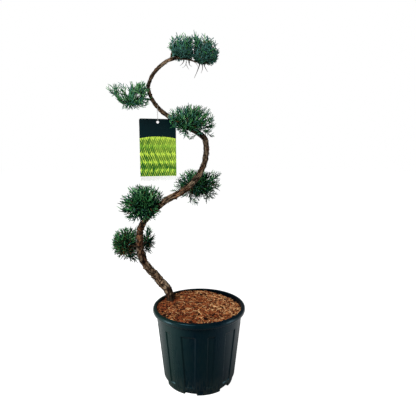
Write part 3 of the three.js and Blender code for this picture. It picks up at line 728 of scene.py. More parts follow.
@dataclass(frozen=True)
class PrintedCard(Finish):
    """A plain plastic picture tag: a dark head over a field of small green leaves in rows."""

    yaw: float = 17.0
    centre: Triple = (0.0, 0.0, 0.0)
    head: Triple = (0.0015, 0.011, 0.014)
    lime: Triple = (0.58, 0.8, 0.085)
    leaf: Triple = (0.21, 0.46, 0.04)
    shade: Triple = (0.02, 0.1, 0.014)
    bare: Triple = (0.85, 0.86, 0.84)
    rows: float = 52.0
    foot_high: float = 0.014
    head_low: float = 0.146
    arch: float = 1.7
    layers: Table = ((1.0, 0.0), (0.62, 0.37), (1.6, 0.71))
    bright_up: float = 4.2
    bright_right: float = 2.6
    bright_least: float = 0.28
    mottled: float = 0.45
    bright_full: float = 1.1
    brightened: float = 0.62
    lean: float = 0.8

    def dress(self, nodes: Nodes) -> dict[str, object]:
        """Leaves lean left and right by turns, each a lens: |x| under w times 1 less y squared.

        They lie in three layers over a mottled green, brighter towards the top right. The head
        starts at an arch, the foot is bare, and so are the edges and the back.
        """
        place, turn = nodes.place(), (0.0, 0.0, math.radians(self.yaw))
        upright = {"Vector": place, "Location": self.centre, "Rotation": turn}
        upright = nodes.add("ShaderNodeMapping", upright, vector_type="TEXTURE").outputs[0]
        across, up = nodes.axis(upright, "X"), nodes.axis(upright, "Z")
        mottle, _ = Group.MOTTLE.place(nodes, place, 60.0, 0.6)
        colour = nodes.mix(mottle, self.shade, self.leaf)
        for (scale, shift), tone in zip(self.layers, (self.leaf, self.lime, self.shade)):
            colour = nodes.mix(self._leaves(nodes, across, up, scale, shift), colour, tone)
        bright = nodes.math("MULTIPLY", across, self.bright_right)
        bright = nodes.math("MULTIPLY_ADD", up, self.bright_up, bright)
        bright = nodes.math("SUBTRACT", bright, self.bright_least)
        bright = nodes.math("MULTIPLY_ADD", mottle, self.mottled, bright)
        bright = nodes.spread(bright, 0.0, self.bright_full)
        colour = nodes.mix(nodes.math("MULTIPLY", bright, self.brightened), colour, self.lime)
        arch = nodes.math("MULTIPLY", nodes.math("MULTIPLY", across, across), self.arch)
        in_head = nodes.math("GREATER_THAN", nodes.math("ADD", up, arch), self.head_low)
        colour = nodes.mix(in_head, colour, self.head)
        colour = nodes.mix(nodes.math("LESS_THAN", up, self.foot_high), colour, self.bare)
        on_face = nodes.math("LESS_THAN", nodes.axis(nodes.normal(), "Y"), -0.5)
        colour = nodes.mix(on_face, self.bare, colour)
        rough = nodes.math("MULTIPLY_ADD", mottle, 0.12, 0.3)
        return {"Base Color": colour, "Roughness": rough, "Specular IOR Level": 0.12}

    def _leaves(
        self, nodes: Nodes, across: Socket, up: Socket, scale: float, shift: float
    ) -> Socket:
        """A mask of leaning leaves: cells of a grid whose rows are sheared by turns."""
        size = self.rows * scale
        high = nodes.math("MULTIPLY_ADD", up, size * 0.45, shift)
        odd = nodes.math("MODULO", nodes.math("FLOOR", high), 2.0)
        lean = nodes.math("MULTIPLY_ADD", odd, 2 * self.lean, -self.lean)
        in_row = nodes.math("MULTIPLY_ADD", nodes.math("FRACT", high), 2.0, -1.0)
        wide = nodes.math("MULTIPLY", across, size * 1.7)
        sheared = nodes.math("MULTIPLY_ADD", in_row, lean, wide)
        cell = nodes.math("FRACT", nodes.math("ADD", sheared, shift))
        in_cell = nodes.math("MULTIPLY_ADD", cell, 2.0, -1.0)
        width = nodes.math("MULTIPLY_ADD", nodes.math("MULTIPLY", in_row, in_row), -0.8, 0.8)
        return nodes.math("LESS_THAN", nodes.math("ABSOLUTE", in_cell), width)


@dataclass(frozen=True)
class StudioFloor(Finish):
    """The plain pale floor, lit from behind as a backdrop, with a painted reflection at the sides:
    a glow that only glossy rays see.
    """

    colour: Triple = (0.3, 0.3, 0.3)
    glow: float = 0.95
    reflected_glow: float = 0.8
    reflected_glow_span: Pair = (0.12, 0.45)

    def dress(self, nodes: Nodes) -> dict[str, object]:
        """One pale matt colour with the glow, and the painted reflection at the sides that the
        pot's plastic mirrors.
        """
        path = nodes.add("ShaderNodeLightPath").outputs
        across = nodes.math("ABSOLUTE", nodes.axis(nodes.place(), "X"))
        side = nodes.spread(across, *self.reflected_glow_span, self.reflected_glow)
        # Painted reflection: the sides glow for glossy rays only, so the pot's plastic shows
        # highlights from them.
        reflected_glow = nodes.math("MULTIPLY", path["Is Glossy Ray"], side)
        glow = nodes.math("MULTIPLY_ADD", path["Is Camera Ray"], self.glow, reflected_glow)
        matt = {"Base Color": self.colour, "Roughness": 0.9, "Specular IOR Level": 0.1}
        return matt | {"Emission Color": WHITE, "Emission Strength": glow}


class NeedleTone(Enum):
    """Greens that are dealt out to the sprays of needles, from the inside of a mass outwards.

    The shade, deep, green, lit and highlight tones are shaded and lit copies of one green: painted
    shade, painted light and painted highlights. The blue-green and dry tones are the needles' own
    colours.
    """

    SHADE = PlainTone("needles_in_shade", (0.0016, 0.015, 0.011), 0.8, 0.03)
    DEEP = PlainTone("needles_deep_green", (0.011, 0.054, 0.026), 0.75, 0.04)
    BLUE = PlainTone("needles_blue_green", (0.052, 0.15, 0.128), 0.7, 0.06)
    GREEN = PlainTone("needles_green", (0.03, 0.135, 0.048), 0.7, 0.06)
    LIT_GREEN = PlainTone("needles_fresh_green", (0.062, 0.245, 0.075), 0.65, 0.1)
    HIGHLIGHT = PlainTone("needles_pale_tips", (0.2, 0.41, 0.19), 0.6, 0.12)
    DRY = PlainTone("needles_dry", (0.09, 0.055, 0.02), 0.8, 0.04)


class WoodTone(Enum):
    """Colours of twigs, loose bark and cut stubs."""

    TWIG = PlainTone("twig_brown", (0.05, 0.035, 0.024), 0.85, 0.1)
    FLAKE = PlainTone("bark_flake_grey", (0.085, 0.064, 0.044), 0.9, 0.05)
    UNDER = PlainTone("bark_flake_red", (0.085, 0.038, 0.021), 0.9, 0.05)
    DARK = PlainTone("bark_flake_dark", (0.016, 0.01, 0.007), 0.9, 0.05)
    CUT = PlainTone("cut_wood", (0.36, 0.25, 0.16), 0.85, 0.2)


class ChipTone(Enum):
    """Colours of the bark chips and fibres in the mulch."""

    RUST = PlainTone("chip_rust", (0.26, 0.064, 0.022), 0.9, 0.05)
    BROWN = PlainTone("chip_brown", (0.115, 0.032, 0.014), 0.9, 0.05)
    DARK = PlainTone("chip_dark", (0.012, 0.005, 0.004), 0.9, 0.05)
    TAN = PlainTone("chip_tan", (0.43, 0.165, 0.056), 0.85, 0.08)
    STRAW = PlainTone("chip_straw", (0.84, 0.5, 0.23), 0.8, 0.1)


def tone_materials(tones: type[Enum]) -> list[Material]:
    """The materials of an Enum of plain tones, in its order."""
    return [tone.value.material() for tone in tones]


def tone_numbers(tones: type[Enum], *wanted: Enum) -> Array:
    """The places of some tones in their Enum."""
    order = list(tones)
    return np.array([order.index(tone) for tone in wanted])


# The pot and what fills it.


@dataclass
class NurseryPot:
    """The pot: a tapered wall on a narrower foot, with a rolled lip, sunk panels and flutes."""

    height: float = 260.0
    wall: float = 3.0
    floor: float = 5.0
    foot_radius: float = 115.0
    foot_height: float = 17.0
    wall_radius: float = 119.0
    wall_flare: float = 0.104
    lip_radius: float = 155.0
    lip_height: float = 20.0
    lip_fat: float = 5.5
    panel_low: float = 30.0
    panel_high: float = 208.0
    panel_depth: float = 3.0
    panel_turn: float = -103.0
    panel_half: float = 8.5
    panel_taper: float = 1.6
    flute_half: float = 3.8
    edge: float = 1.4
    ramp: float = 4.0
    sectors: int = 6
    notch_half: float = 10.2
    notch_height: float = 11.0
    notch_radius: float = 107.0

    PLAIN, PANELLED, NOTCHED = 0, 1, 2

    def radius_at(self, height: float | Array) -> float | Array:
        """The wall's outer radius at a height."""
        return self.wall_radius + self.wall_flare * height

    def half_sector(self) -> float:
        """Half the angle in degrees from one panel to the next."""
        return 180 / self.sectors

    def off_panel(self, angles: Array) -> Array:
        """Degrees from each angle to the middle of the nearest panel."""
        half = self.half_sector()
        return np.abs(np.mod(angles - self.panel_turn + half, 2 * half) - half)

    def columns(self) -> Array:
        """Angles in degrees round the pot, close together at the edges of panels and flutes."""
        half = self.half_sector()
        edges = [self.panel_half, self.panel_half + self.edge, self.notch_half]
        edges += [half - self.flute_half - self.edge, half - self.flute_half]
        near = np.concatenate([np.linspace(edge - 0.9, edge + 0.9, 5) for edge in edges])
        side = np.unique(np.round(np.concatenate([near, np.arange(0, half, 1.5)]), 2))
        side = side[(side > 0) & (side < half)]
        sector = np.concatenate([[0.0], side, [half], 2 * half - side[::-1]])
        turns = self.panel_turn + 2 * half * np.arange(self.sectors)
        return (turns[:, None] + sector).ravel()

    def profile(self) -> Array:
        """Rows of (radius, height, part), from the underside up the outside and down the inside.

        The rolled lip is a round of points, and the wall and the inside are straight.
        """

        def rows(radius: Array, height: Array, part: Array | int) -> Array:
            """Rows of the profile that are given as three columns."""
            return np.stack(np.broadcast_arrays(radius, height, part), axis=-1)

        low, high, lip_low = self.panel_low, self.panel_high, self.height - self.lip_height
        turn = np.radians(np.linspace(-78, 90, 12))
        tall = self.lip_height / 2 - 1
        round_out = self.lip_radius - self.lip_fat + self.lip_fat * np.cos(turn)
        lip = rows(round_out, lip_low + tall + 1 + tall * np.sin(turn), self.PLAIN)
        heights = np.concatenate(
            [
                [21.0, 23.0, low - self.ramp],
                np.linspace(low - 2.6, low + 2.2, 5),
                np.linspace(low + 10, high - 10, 10),
                np.linspace(high - 2.2, high + 2.6, 5),
                [high + self.ramp, high + 12, lip_low - 3],
            ]
        )
        wall = rows(self.radius_at(heights), heights, self.PANELLED)
        foot, top = self.foot_radius, self.foot_height
        plain, notched, notch = self.PLAIN, self.NOTCHED, self.notch_radius
        base = [
            [60, 0, plain], [notch - 1.5, 0, plain], [notch, 0, notched],
            [foot - 1.6, 0, notched], [foot - 0.4, 0.5, notched], [foot, 1.8, notched],
            [foot + 0.5, 9, notched], [foot + 0.7, 12.5, plain],
            [foot + 1, top, plain], [foot + 2.2, top + 2.6, plain],
        ]
        under = lip_low - 1.5
        neck = [[self.radius_at(under), under, 0], [self.radius_at(lip_low) + 1.2, lip_low, 0]]
        rim = [[self.radius_at(self.height) - self.wall + 2.4, self.height, 0]]
        heights = np.array([self.height - 2.5, self.height - 8, 236, high + 6, high - 2, 34])
        inner = rows(self.radius_at(heights) - self.wall, heights, (heights < high).astype(float))
        floor = [[104, 14, 0], [100, self.floor, 0], [50, self.floor, 0]]
        return np.vstack([base, wall, neck, lip, rim, inner, floor])

    def sink(self, angles: Array, heights: Array) -> Array:
        """How deep the wall is sunk: over panels that narrow downwards, and over flutes."""
        turn, tall = self.off_panel(angles), self.panel_high - self.panel_low
        low = smoothstep(heights, self.panel_low - 3, self.panel_low + 2)
        high = 1 - smoothstep(heights, self.panel_high - 2, self.panel_high + 3)
        narrow = self.panel_taper * (self.panel_high - heights) / tall
        panel = 1 - smoothstep(turn + narrow, self.panel_half, self.panel_half + self.edge)
        from_flute = self.half_sector() - turn
        flute = 1 - smoothstep(from_flute, self.flute_half, self.flute_half + self.edge)
        return self.panel_depth * np.maximum(panel, flute) * low * high

    def build(self) -> None:
        """Turns the profile round the axis: (r cos a, r sin a, z), less the sink over its panels.

        In a notch the foot's underside and wall are lifted to the notch's height.
        """
        profile, angles = self.profile(), self.columns()
        radius = np.repeat(profile[:, :1], len(angles), axis=1)
        height = np.repeat(profile[:, 1:2], len(angles), axis=1)
        part = profile[:, 2:3]
        turn = np.broadcast_to(angles, radius.shape)
        edge = self.notch_half
        notch = self.notch_height * (1 - smoothstep(self.off_panel(turn), edge - 0.5, edge + 0.1))
        height = np.where(part == self.NOTCHED, np.maximum(height, notch), height)
        radius = radius - np.where(part == self.PANELLED, self.sink(turn, height), 0)
        poles = np.array([[0, 0, 0], [0, 0, self.floor]])
        skin = Skin()
        skin.add_tube(lathe(radius, np.radians(turn), height), poles)
        plastic = PotPlastic("satin_pot_plastic").material()
        mount(skin.piece("nursery_pot", [plastic], 32), "pot_plastic", "pot")


@dataclass(frozen=True)
class LooseBits:
    """One kind of loose bit on the mulch: how many, the ranges of its sizes, and its seed.

    The shares are the draws at which the tone changes, from the darkest tone to the palest.
    """

    name: str
    count: int
    long: Pair
    wide: Pair
    thick: Pair
    seed: int
    shares: tuple[float, float, float, float]
    sway: Pair = (-0.4, 0.4)
    pitch: Pair = (-0.2, 0.26)
    lift: Pair = (-0.8, 2.6)
    roll: Pair = (-0.5, 0.5)
    bend: Pair = (-0.06, 0.1)
    tip: float = 0.6

    FAT = np.array([0.35, 1.0, 0.85, 0.3])
    STATIONS = np.array([-0.5, -0.3, 0.3, 0.5])
    TONES = (ChipTone.DARK, ChipTone.BROWN, ChipTone.RUST, ChipTone.TAN, ChipTone.STRAW)

    def draw(self, offset: int, low: float = 0.0, high: float = 1.0) -> Array:
        """One chance number for each bit between two values."""
        return lerp(low, high, chance(self.seed + offset, np.arange(self.count)))

    def size(self, limits: Pair, offset: int, power: float) -> Array:
        """A size for each bit, where a power above 1 makes the small ones more."""
        return lerp(*limits, self.draw(offset) ** power)


@dataclass
class MulchBed:
    """The root ball with its mulch: a rough mound under loose chips and fibres.

    Five numbers set its dryness: its level, and its changes to the right, to the back and by
    patches; the fifth darkens the bits near the stem as painted shade. The drier the mulch is, the
    paler are its bits.
    """

    pot: NurseryPot
    foot: Triple = (-100.0, 58.0, 250.3)
    level: float = 250.0
    mound: float = 4.0
    edge_drop: float = 3.0
    low_drop: float = 7.0
    low_turn: float = 30.0
    high_rise: float = 6.5
    high_turn: float = 125.0
    flat_radius: float = 34.0
    rough: float = 2.4
    crumb: float = 5.0
    rings: int = 44
    columns: int = 180
    stem_room: float = 14.0
    patch: float = 30.0
    stem_shade: float = 40.0
    dryness_and_stem_shade: tuple[float, ...] = (0.52, 0.5, 0.15, 0.7, 0.5)
    paler: Pair = (0.74, 1.13)
    bits: tuple[LooseBits, ...] = (
        LooseBits(
            "mulch_chips", 5400, (5.0, 17.0), (1.8, 5.2), (0.8, 2.0), 41, (0.25, 0.46, 0.74, 0.93)
        ),
        LooseBits(
            "mulch_fibres", 2600, (10.0, 30.0), (0.8, 2.2), (0.5, 1.1), 42, (0.13, 0.22, 0.4, 0.68)
        ),
    )

    def inside(self, height: float) -> float:
        """The radius that the root ball fills at a height, just clear of the pot's wall."""
        return self.pot.radius_at(height) - self.pot.wall - GAP

    def height(self, x: Array, y: Array) -> Array:
        """Heights of the bed: a mound, higher at the back left and lowest at the back right."""
        out, around = np.hypot(x, y) / self.pot.radius_at(self.level), np.arctan2(y, x)
        low_side = np.maximum(0, np.cos(around - math.radians(self.low_turn))) ** 2
        high_side = np.maximum(0, np.cos(around - math.radians(self.high_turn)))
        from_foot = np.hypot(x - self.foot[0], y - self.foot[1])
        free = smoothstep(from_foot, self.flat_radius, self.flat_radius * 2)
        rise = self.mound * (1 - out**2) - self.edge_drop * out**6
        rise = rise + out**2 * (self.high_rise * high_side - self.low_drop * low_side)
        return self.level + free * rise

    def build(self) -> None:
        """Builds the bed, then the chips and the fibres that lie on it."""
        self._build_bed()
        for kind in self.bits:
            self._scatter(kind)

    def _build_bed(self) -> None:
        """A lathe of rings from the bottom up the side and in over the top, with crumbs on it."""
        bottom = self.pot.floor + GAP
        side = [[99, bottom], [103, 15]]
        side += [[self.inside(z) - self.pot.panel_depth, z] for z in (32, 210)]
        side += [[self.inside(216), 216]]
        inner = np.linspace(self.inside(self.level), 4, self.rings)
        rings = np.vstack([side, np.stack([inner, np.full(self.rings, self.level)], axis=-1)])
        radius, angle = np.meshgrid(rings[:, 0], even_turns(self.columns), indexing="ij")
        flat = lathe(radius, angle, np.repeat(rings[:, 1:], self.columns, axis=1))
        x, y, base = flat[..., 0], flat[..., 1], flat[..., 2]
        crumbs = value_noise(x / self.crumb + 60, y / self.crumb + 60, NO_REPEAT, 3.0) - 0.5
        top = self.height(x, y) - 1.5 + self.rough * crumbs
        flat[..., 2] = np.where(base >= self.level, top, base)
        middle = float(self.height(np.zeros(1), np.zeros(1))[0])
        skin = Skin()
        skin.add_tube(flat, np.array([[0, 0, bottom], [0, 0, middle]]))
        mount(skin.piece("mulch_bed", [SOIL.material()], 60), "bark_mulch", "mulch")

    def _scatter(self, kind: LooseBits) -> None:
        """Slivers with four sides that lie at chance angles, evenly over the bed.

        Each is four rings of a flattened square between two points, bent a little upwards.
        Those that meet the stem, the rim or the wall are left out.
        """
        index, draw, reach = np.arange(kind.count), kind.draw, self.inside(self.level)
        length = kind.size(kind.long, 1, 1.7)
        out = np.sqrt((index + 0.5) / kind.count) * (reach - 1.5)
        around = index * GOLDEN_ANGLE + draw(2, *kind.sway)
        yaw, pitch = draw(3, 0, 2 * math.pi), draw(4, *kind.pitch)
        x, y = out * np.cos(around), out * np.sin(around)
        ends = np.abs(np.cos(yaw - around)) * length / 2
        inward = np.minimum(1, (reach - 1 - ends) / np.maximum(out, 1))
        x, y = x * inward, y * inward
        lift = draw(5, *kind.lift) + np.abs(np.sin(pitch)) * length * 0.22
        centre = np.stack([x, y, self.height(x, y) + lift], axis=-1)
        axis = lathe(np.cos(pitch), yaw, np.sin(pitch))
        flat, edge = cross_frame(axis, (0.013, 0.021, 1.0))
        roll = draw(6, *kind.roll)[:, None]
        flat, edge = circle(flat, edge, roll), circle(edge, -flat, roll)
        wide = kind.size(kind.wide, 7, 1.5)[:, None] / 2 * kind.FAT
        thick = draw(8, *kind.thick)[:, None] / 2 * kind.FAT
        bend = draw(9, *kind.bend)[:, None] * length[:, None] * (1 - (2 * kind.STATIONS) ** 2)
        spine = centre[:, None] + axis[:, None] * (length[:, None] * kind.STATIONS)[..., None]
        spine = spine + edge[:, None] * bend[..., None]
        rings = square_rings(spine, flat, edge, wide, thick)
        poles = end_points(spine, axis, axis, (kind.tip, kind.tip))
        off_x, off_y = x - self.foot[0], y - self.foot[1]
        kept = np.hypot(off_x, off_y) > self.stem_room + np.minimum(ends, 6)
        for points in (rings.reshape(kind.count, -1, 3), poles):
            kept &= points[..., 2].max(axis=1) < self.pot.height - 1
            kept &= np.hypot(points[..., 0], points[..., 1]).max(axis=1) < reach
        patch = value_noise(x / self.patch + 20, y / self.patch + 20, NO_REPEAT, 8.0)
        # Painted shade: bits near the stem are made less dry, which darkens them.
        near_stem = np.exp(-((off_x**2 + off_y**2) / self.stem_shade**2))
        level, right, back, patchy, shaded = self.dryness_and_stem_shade
        dry = level + right * x / reach + back * y / reach
        dry = np.clip(dry + patchy * (patch - 0.5) - shaded * near_stem, 0, 1)
        pale = np.clip(draw(10) * lerp(*self.paler, dry), 0, 1)
        tones = tone_numbers(ChipTone, *kind.TONES)[np.searchsorted(kind.shares, pale)]
        skin = Skin()
        skin.add_tubes(rings[kept], poles[kept], tones[kept])
        mount(skin.piece(kind.name, tone_materials(ChipTone), None), "bark_mulch", "mulch")


# The stem, its boughs and their bark.


@dataclass(frozen=True)
class LimbPlan:
    """A limb's name, its route from root to tip, and its widths there."""

    name: str
    wide: Pair
    route: tuple[Triple, ...]

    def curve(self) -> Route:
        """The limb's curve, with widths that change evenly from root to tip."""
        return Route(self.route, np.linspace(*self.wide, len(self.route)))


STEM_STATIONS: tuple[tuple[Triple, float], ...] = (
    ((-100, 58, 250.3), 30), ((-112, 60, 288), 29.5), ((-142, 55, 328), 28), ((-189, 31, 402), 25),
    ((-194, -6, 468), 22.5), ((-174, -58, 549), 20), ((-104, -100, 621), 17.5),
    ((-49, -95, 652), 18.5), ((-9, -65, 686), 18), ((18, -20, 733), 17), ((24, 25, 784), 17.5),
    ((12, 52, 821), 17.5), ((-51, 66, 858), 16), ((-109, 72, 892), 14.5), ((-135, 69, 915), 13.5),
    ((-152, 53, 939), 12), ((-158, 22, 965), 10.5), ((-149, -10, 985), 11),
    ((-125, -47, 1009), 10.5), ((-87, -80, 1029), 9.5), ((-55, -90, 1036), 8.5),
)

STEM_NODES = (
    "trunk_foot_run", "trunk_left_bend", "trunk_front_run", "trunk_right_climb", "trunk_right_bend",
    "trunk_back_run", "trunk_upper_bend", "trunk_top_run",
)

BOUGHS = (
    LimbPlan("bough_top_left", (6, 4.5), ((-74, -85, 1034), (-75, -84, 1044), (-73, -83, 1052))),
    LimbPlan("bough_top_right", (6.5, 4), ((-60, -89.5, 1036), (-27, -86, 1032), (-7, -79, 1028))),
    LimbPlan("bough_upper_left", (7, 5.5), ((-147, 60, 931), (-159, 56, 938), (-175, 49, 939))),
    LimbPlan("bough_upper_right", (8, 6), ((-40, 64, 853), (-37, 53, 862), (-35, 46, 867))),
    LimbPlan("bough_middle_right", (8, 6), ((-13, -68, 683), (-11, -52, 679), (-9, -38, 676))),
    LimbPlan("bough_middle_left", (8, 6), ((-156, -76, 573), (-160, -82, 581), (-163, -87, 588))),
    LimbPlan(
        "bough_lower_left_outer", (8.5, 6), ((-194, 1, 457), (-208, 14, 456), (-222, 23, 457))
    ),
    LimbPlan("bough_lower_left_inner", (7, 5), ((-194, -3, 463), (-188, 16, 464), (-182, 27, 466))),
)


@dataclass
class Knob:
    """A swelling of the bark round an old cut: where it is and how far it stands out."""

    place: float
    turn: float
    rise: float = 2.2
    wide: float = 9.0


@dataclass
class BarkedLimb:
    """A limb whose surface has the bark's relief.

    Plates, splits and lumps are noise of so many cells round the limb, each so many millimetres
    long, and by_kind says how much each of the three adds to the relief.
    """

    curve: Route
    seed: float
    columns: int = 80
    step: float = 2.1
    knobs: tuple[Knob, ...] = ()
    flare_spread: float = 0.0
    flare_height: float = 9.0
    flare_lobes: int = 5
    flare_depth: float = 0.6
    soiled: float = 46.0
    sunk: float = 3.2
    deep: float = 0.46
    depths: Pair = (0.5, 6.2)
    level: float = 0.72
    plates: tuple[int, float] = (8, 19)
    splits: tuple[int, float] = (18, 12)
    lumps: tuple[int, float] = (6, 14)
    by_kind: Triple = (0.52, 0.2, 0.34)
    slant: float = 0.0045
    sway: float = 0.35
    sway_long: float = 70
    warmth: Table = ((0, 0.5),)
    gloom: Table = ((0, 0.0),)

    def relief(self, along: Array, turn: Array) -> Array:
        """Height of the bark from 0 to 1: long plates between winding cracks, and lumps.

        A crack runs where a noise n, long along the limb, is near its middle: |2 n - 1| is small.
        """

        def noise(share: Array, cells: int, long: float, number: int) -> Array:
            """Noise of so many cells round the limb, each so many millimetres long."""
            return value_noise(share * cells, along / long, cells, self.seed + number)

        share = turn * 3 / (2 * math.pi)
        sway = value_noise(share, along / self.sway_long, 3, self.seed)
        wind = turn + self.slant * along + self.sway * sway
        share = wind / (2 * math.pi)
        plate = np.abs(2 * noise(share, *self.plates, 1) - 1)
        split = np.abs(2 * noise(share, *self.splits, 2) - 1)
        lump = smoothstep(noise(share, *self.lumps, 3), 0.34, 0.66)
        by_plate, by_split, by_lump = self.by_kind
        rise = by_plate * smoothstep(plate, 0.05, 0.4) + by_split * smoothstep(split, 0.05, 0.5)
        return np.clip(rise + by_lump * lump, 0, 1)

    def add_to(self, skin: Skin) -> None:
        """Adds the closed limb to a skin, with the layers that its material reads.

        Its rings are centre + r (normal cos a + side sin a), with r lifted by the relief. The
        layer along_limb is (r cos a, r sin a, length) in metres, which the bark's grain follows.
        """
        total = self.curve.lengths[-1]
        along = np.linspace(0, total, max(6, round(total / self.step)))[:, None]
        places = self.curve.place_at(along[:, 0])
        _, normal, side = self.curve.frame(places)
        turn = even_turns(self.columns)
        radius = self.curve.radius(places)[:, None]
        rise = self.relief(along, turn[None])
        depth = np.clip(radius * self.deep, *self.depths)
        for knob in self.knobs:
            centre = np.interp(knob.place, places, along[:, 0])
            beside = radius * (np.mod(turn - knob.turn + math.pi, 2 * math.pi) - math.pi)
            away = (along - centre) ** 2 + beside**2
            radius = radius + knob.rise * np.exp(-away / knob.wide**2 * 2)
        out = radius + depth * (rise - self.level)
        soil = smoothstep(along, 0, self.soiled) if self.flare_spread else 1.0
        out = out - self.sunk * (1 - soil)
        rise = rise * (0.45 + 0.55 * soil)
        around = circle(normal[:, None], side[:, None], turn[None, :, None])
        rings = self.curve.point(places)[:, None] + around * out[..., None]
        if self.flare_spread:
            rings = self._flared(rings, places, turn)
        poles = np.stack([rings[0].mean(axis=0), rings[-1].mean(axis=0)])
        last = np.array([float(self.curve.last)])
        poles[1] += self.curve.tangent(last)[0] * self.curve.radius(last)[0] * 0.6
        follow = lathe(radius, turn, np.broadcast_to(along, out.shape)) * MM
        follow_ends = np.stack([follow[0].mean(axis=0), follow[-1].mean(axis=0)])
        # The gloom layer carries painted shade along the limb to its material.
        layers = (read_table(table, places) for table in (self.warmth, self.gloom))
        warm, gloom = (np.repeat(layer, self.columns) for layer in layers)
        skin.add_tube(
            rings,
            poles,
            relief=np.append(rise.ravel(), [0.5, 0.5]),
            warmth=np.append(warm, [0.5, 0.5]),
            gloom=np.append(gloom, [0.0, 0.0]),
            along_limb=np.vstack([follow.reshape(-1, 3), follow_ends]),
        )

    def _flared(self, points: Array, places: Array, turn: Array) -> Array:
        """Spreads the foot in lobes that fade with height, and cuts it level where it starts."""
        foot = self.curve.stations[0]
        out = unit(points[..., :2] - foot[:2])
        fade = np.exp(-np.maximum(0, points[..., 2] - foot[2]) / self.flare_height)
        lobes = 1 + self.flare_depth * np.cos(self.flare_lobes * turn)[None]
        spread = self.flare_spread * fade * lobes * (places < 1)[:, None]
        flat = points.copy()
        flat[..., :2] += out * spread[..., None]
        level = np.maximum(flat[..., 2], foot[2])
        flat[..., 2] = np.where((places < 0.9)[:, None], level, flat[..., 2])
        flat[0, :, 2] = foot[2]
        return flat


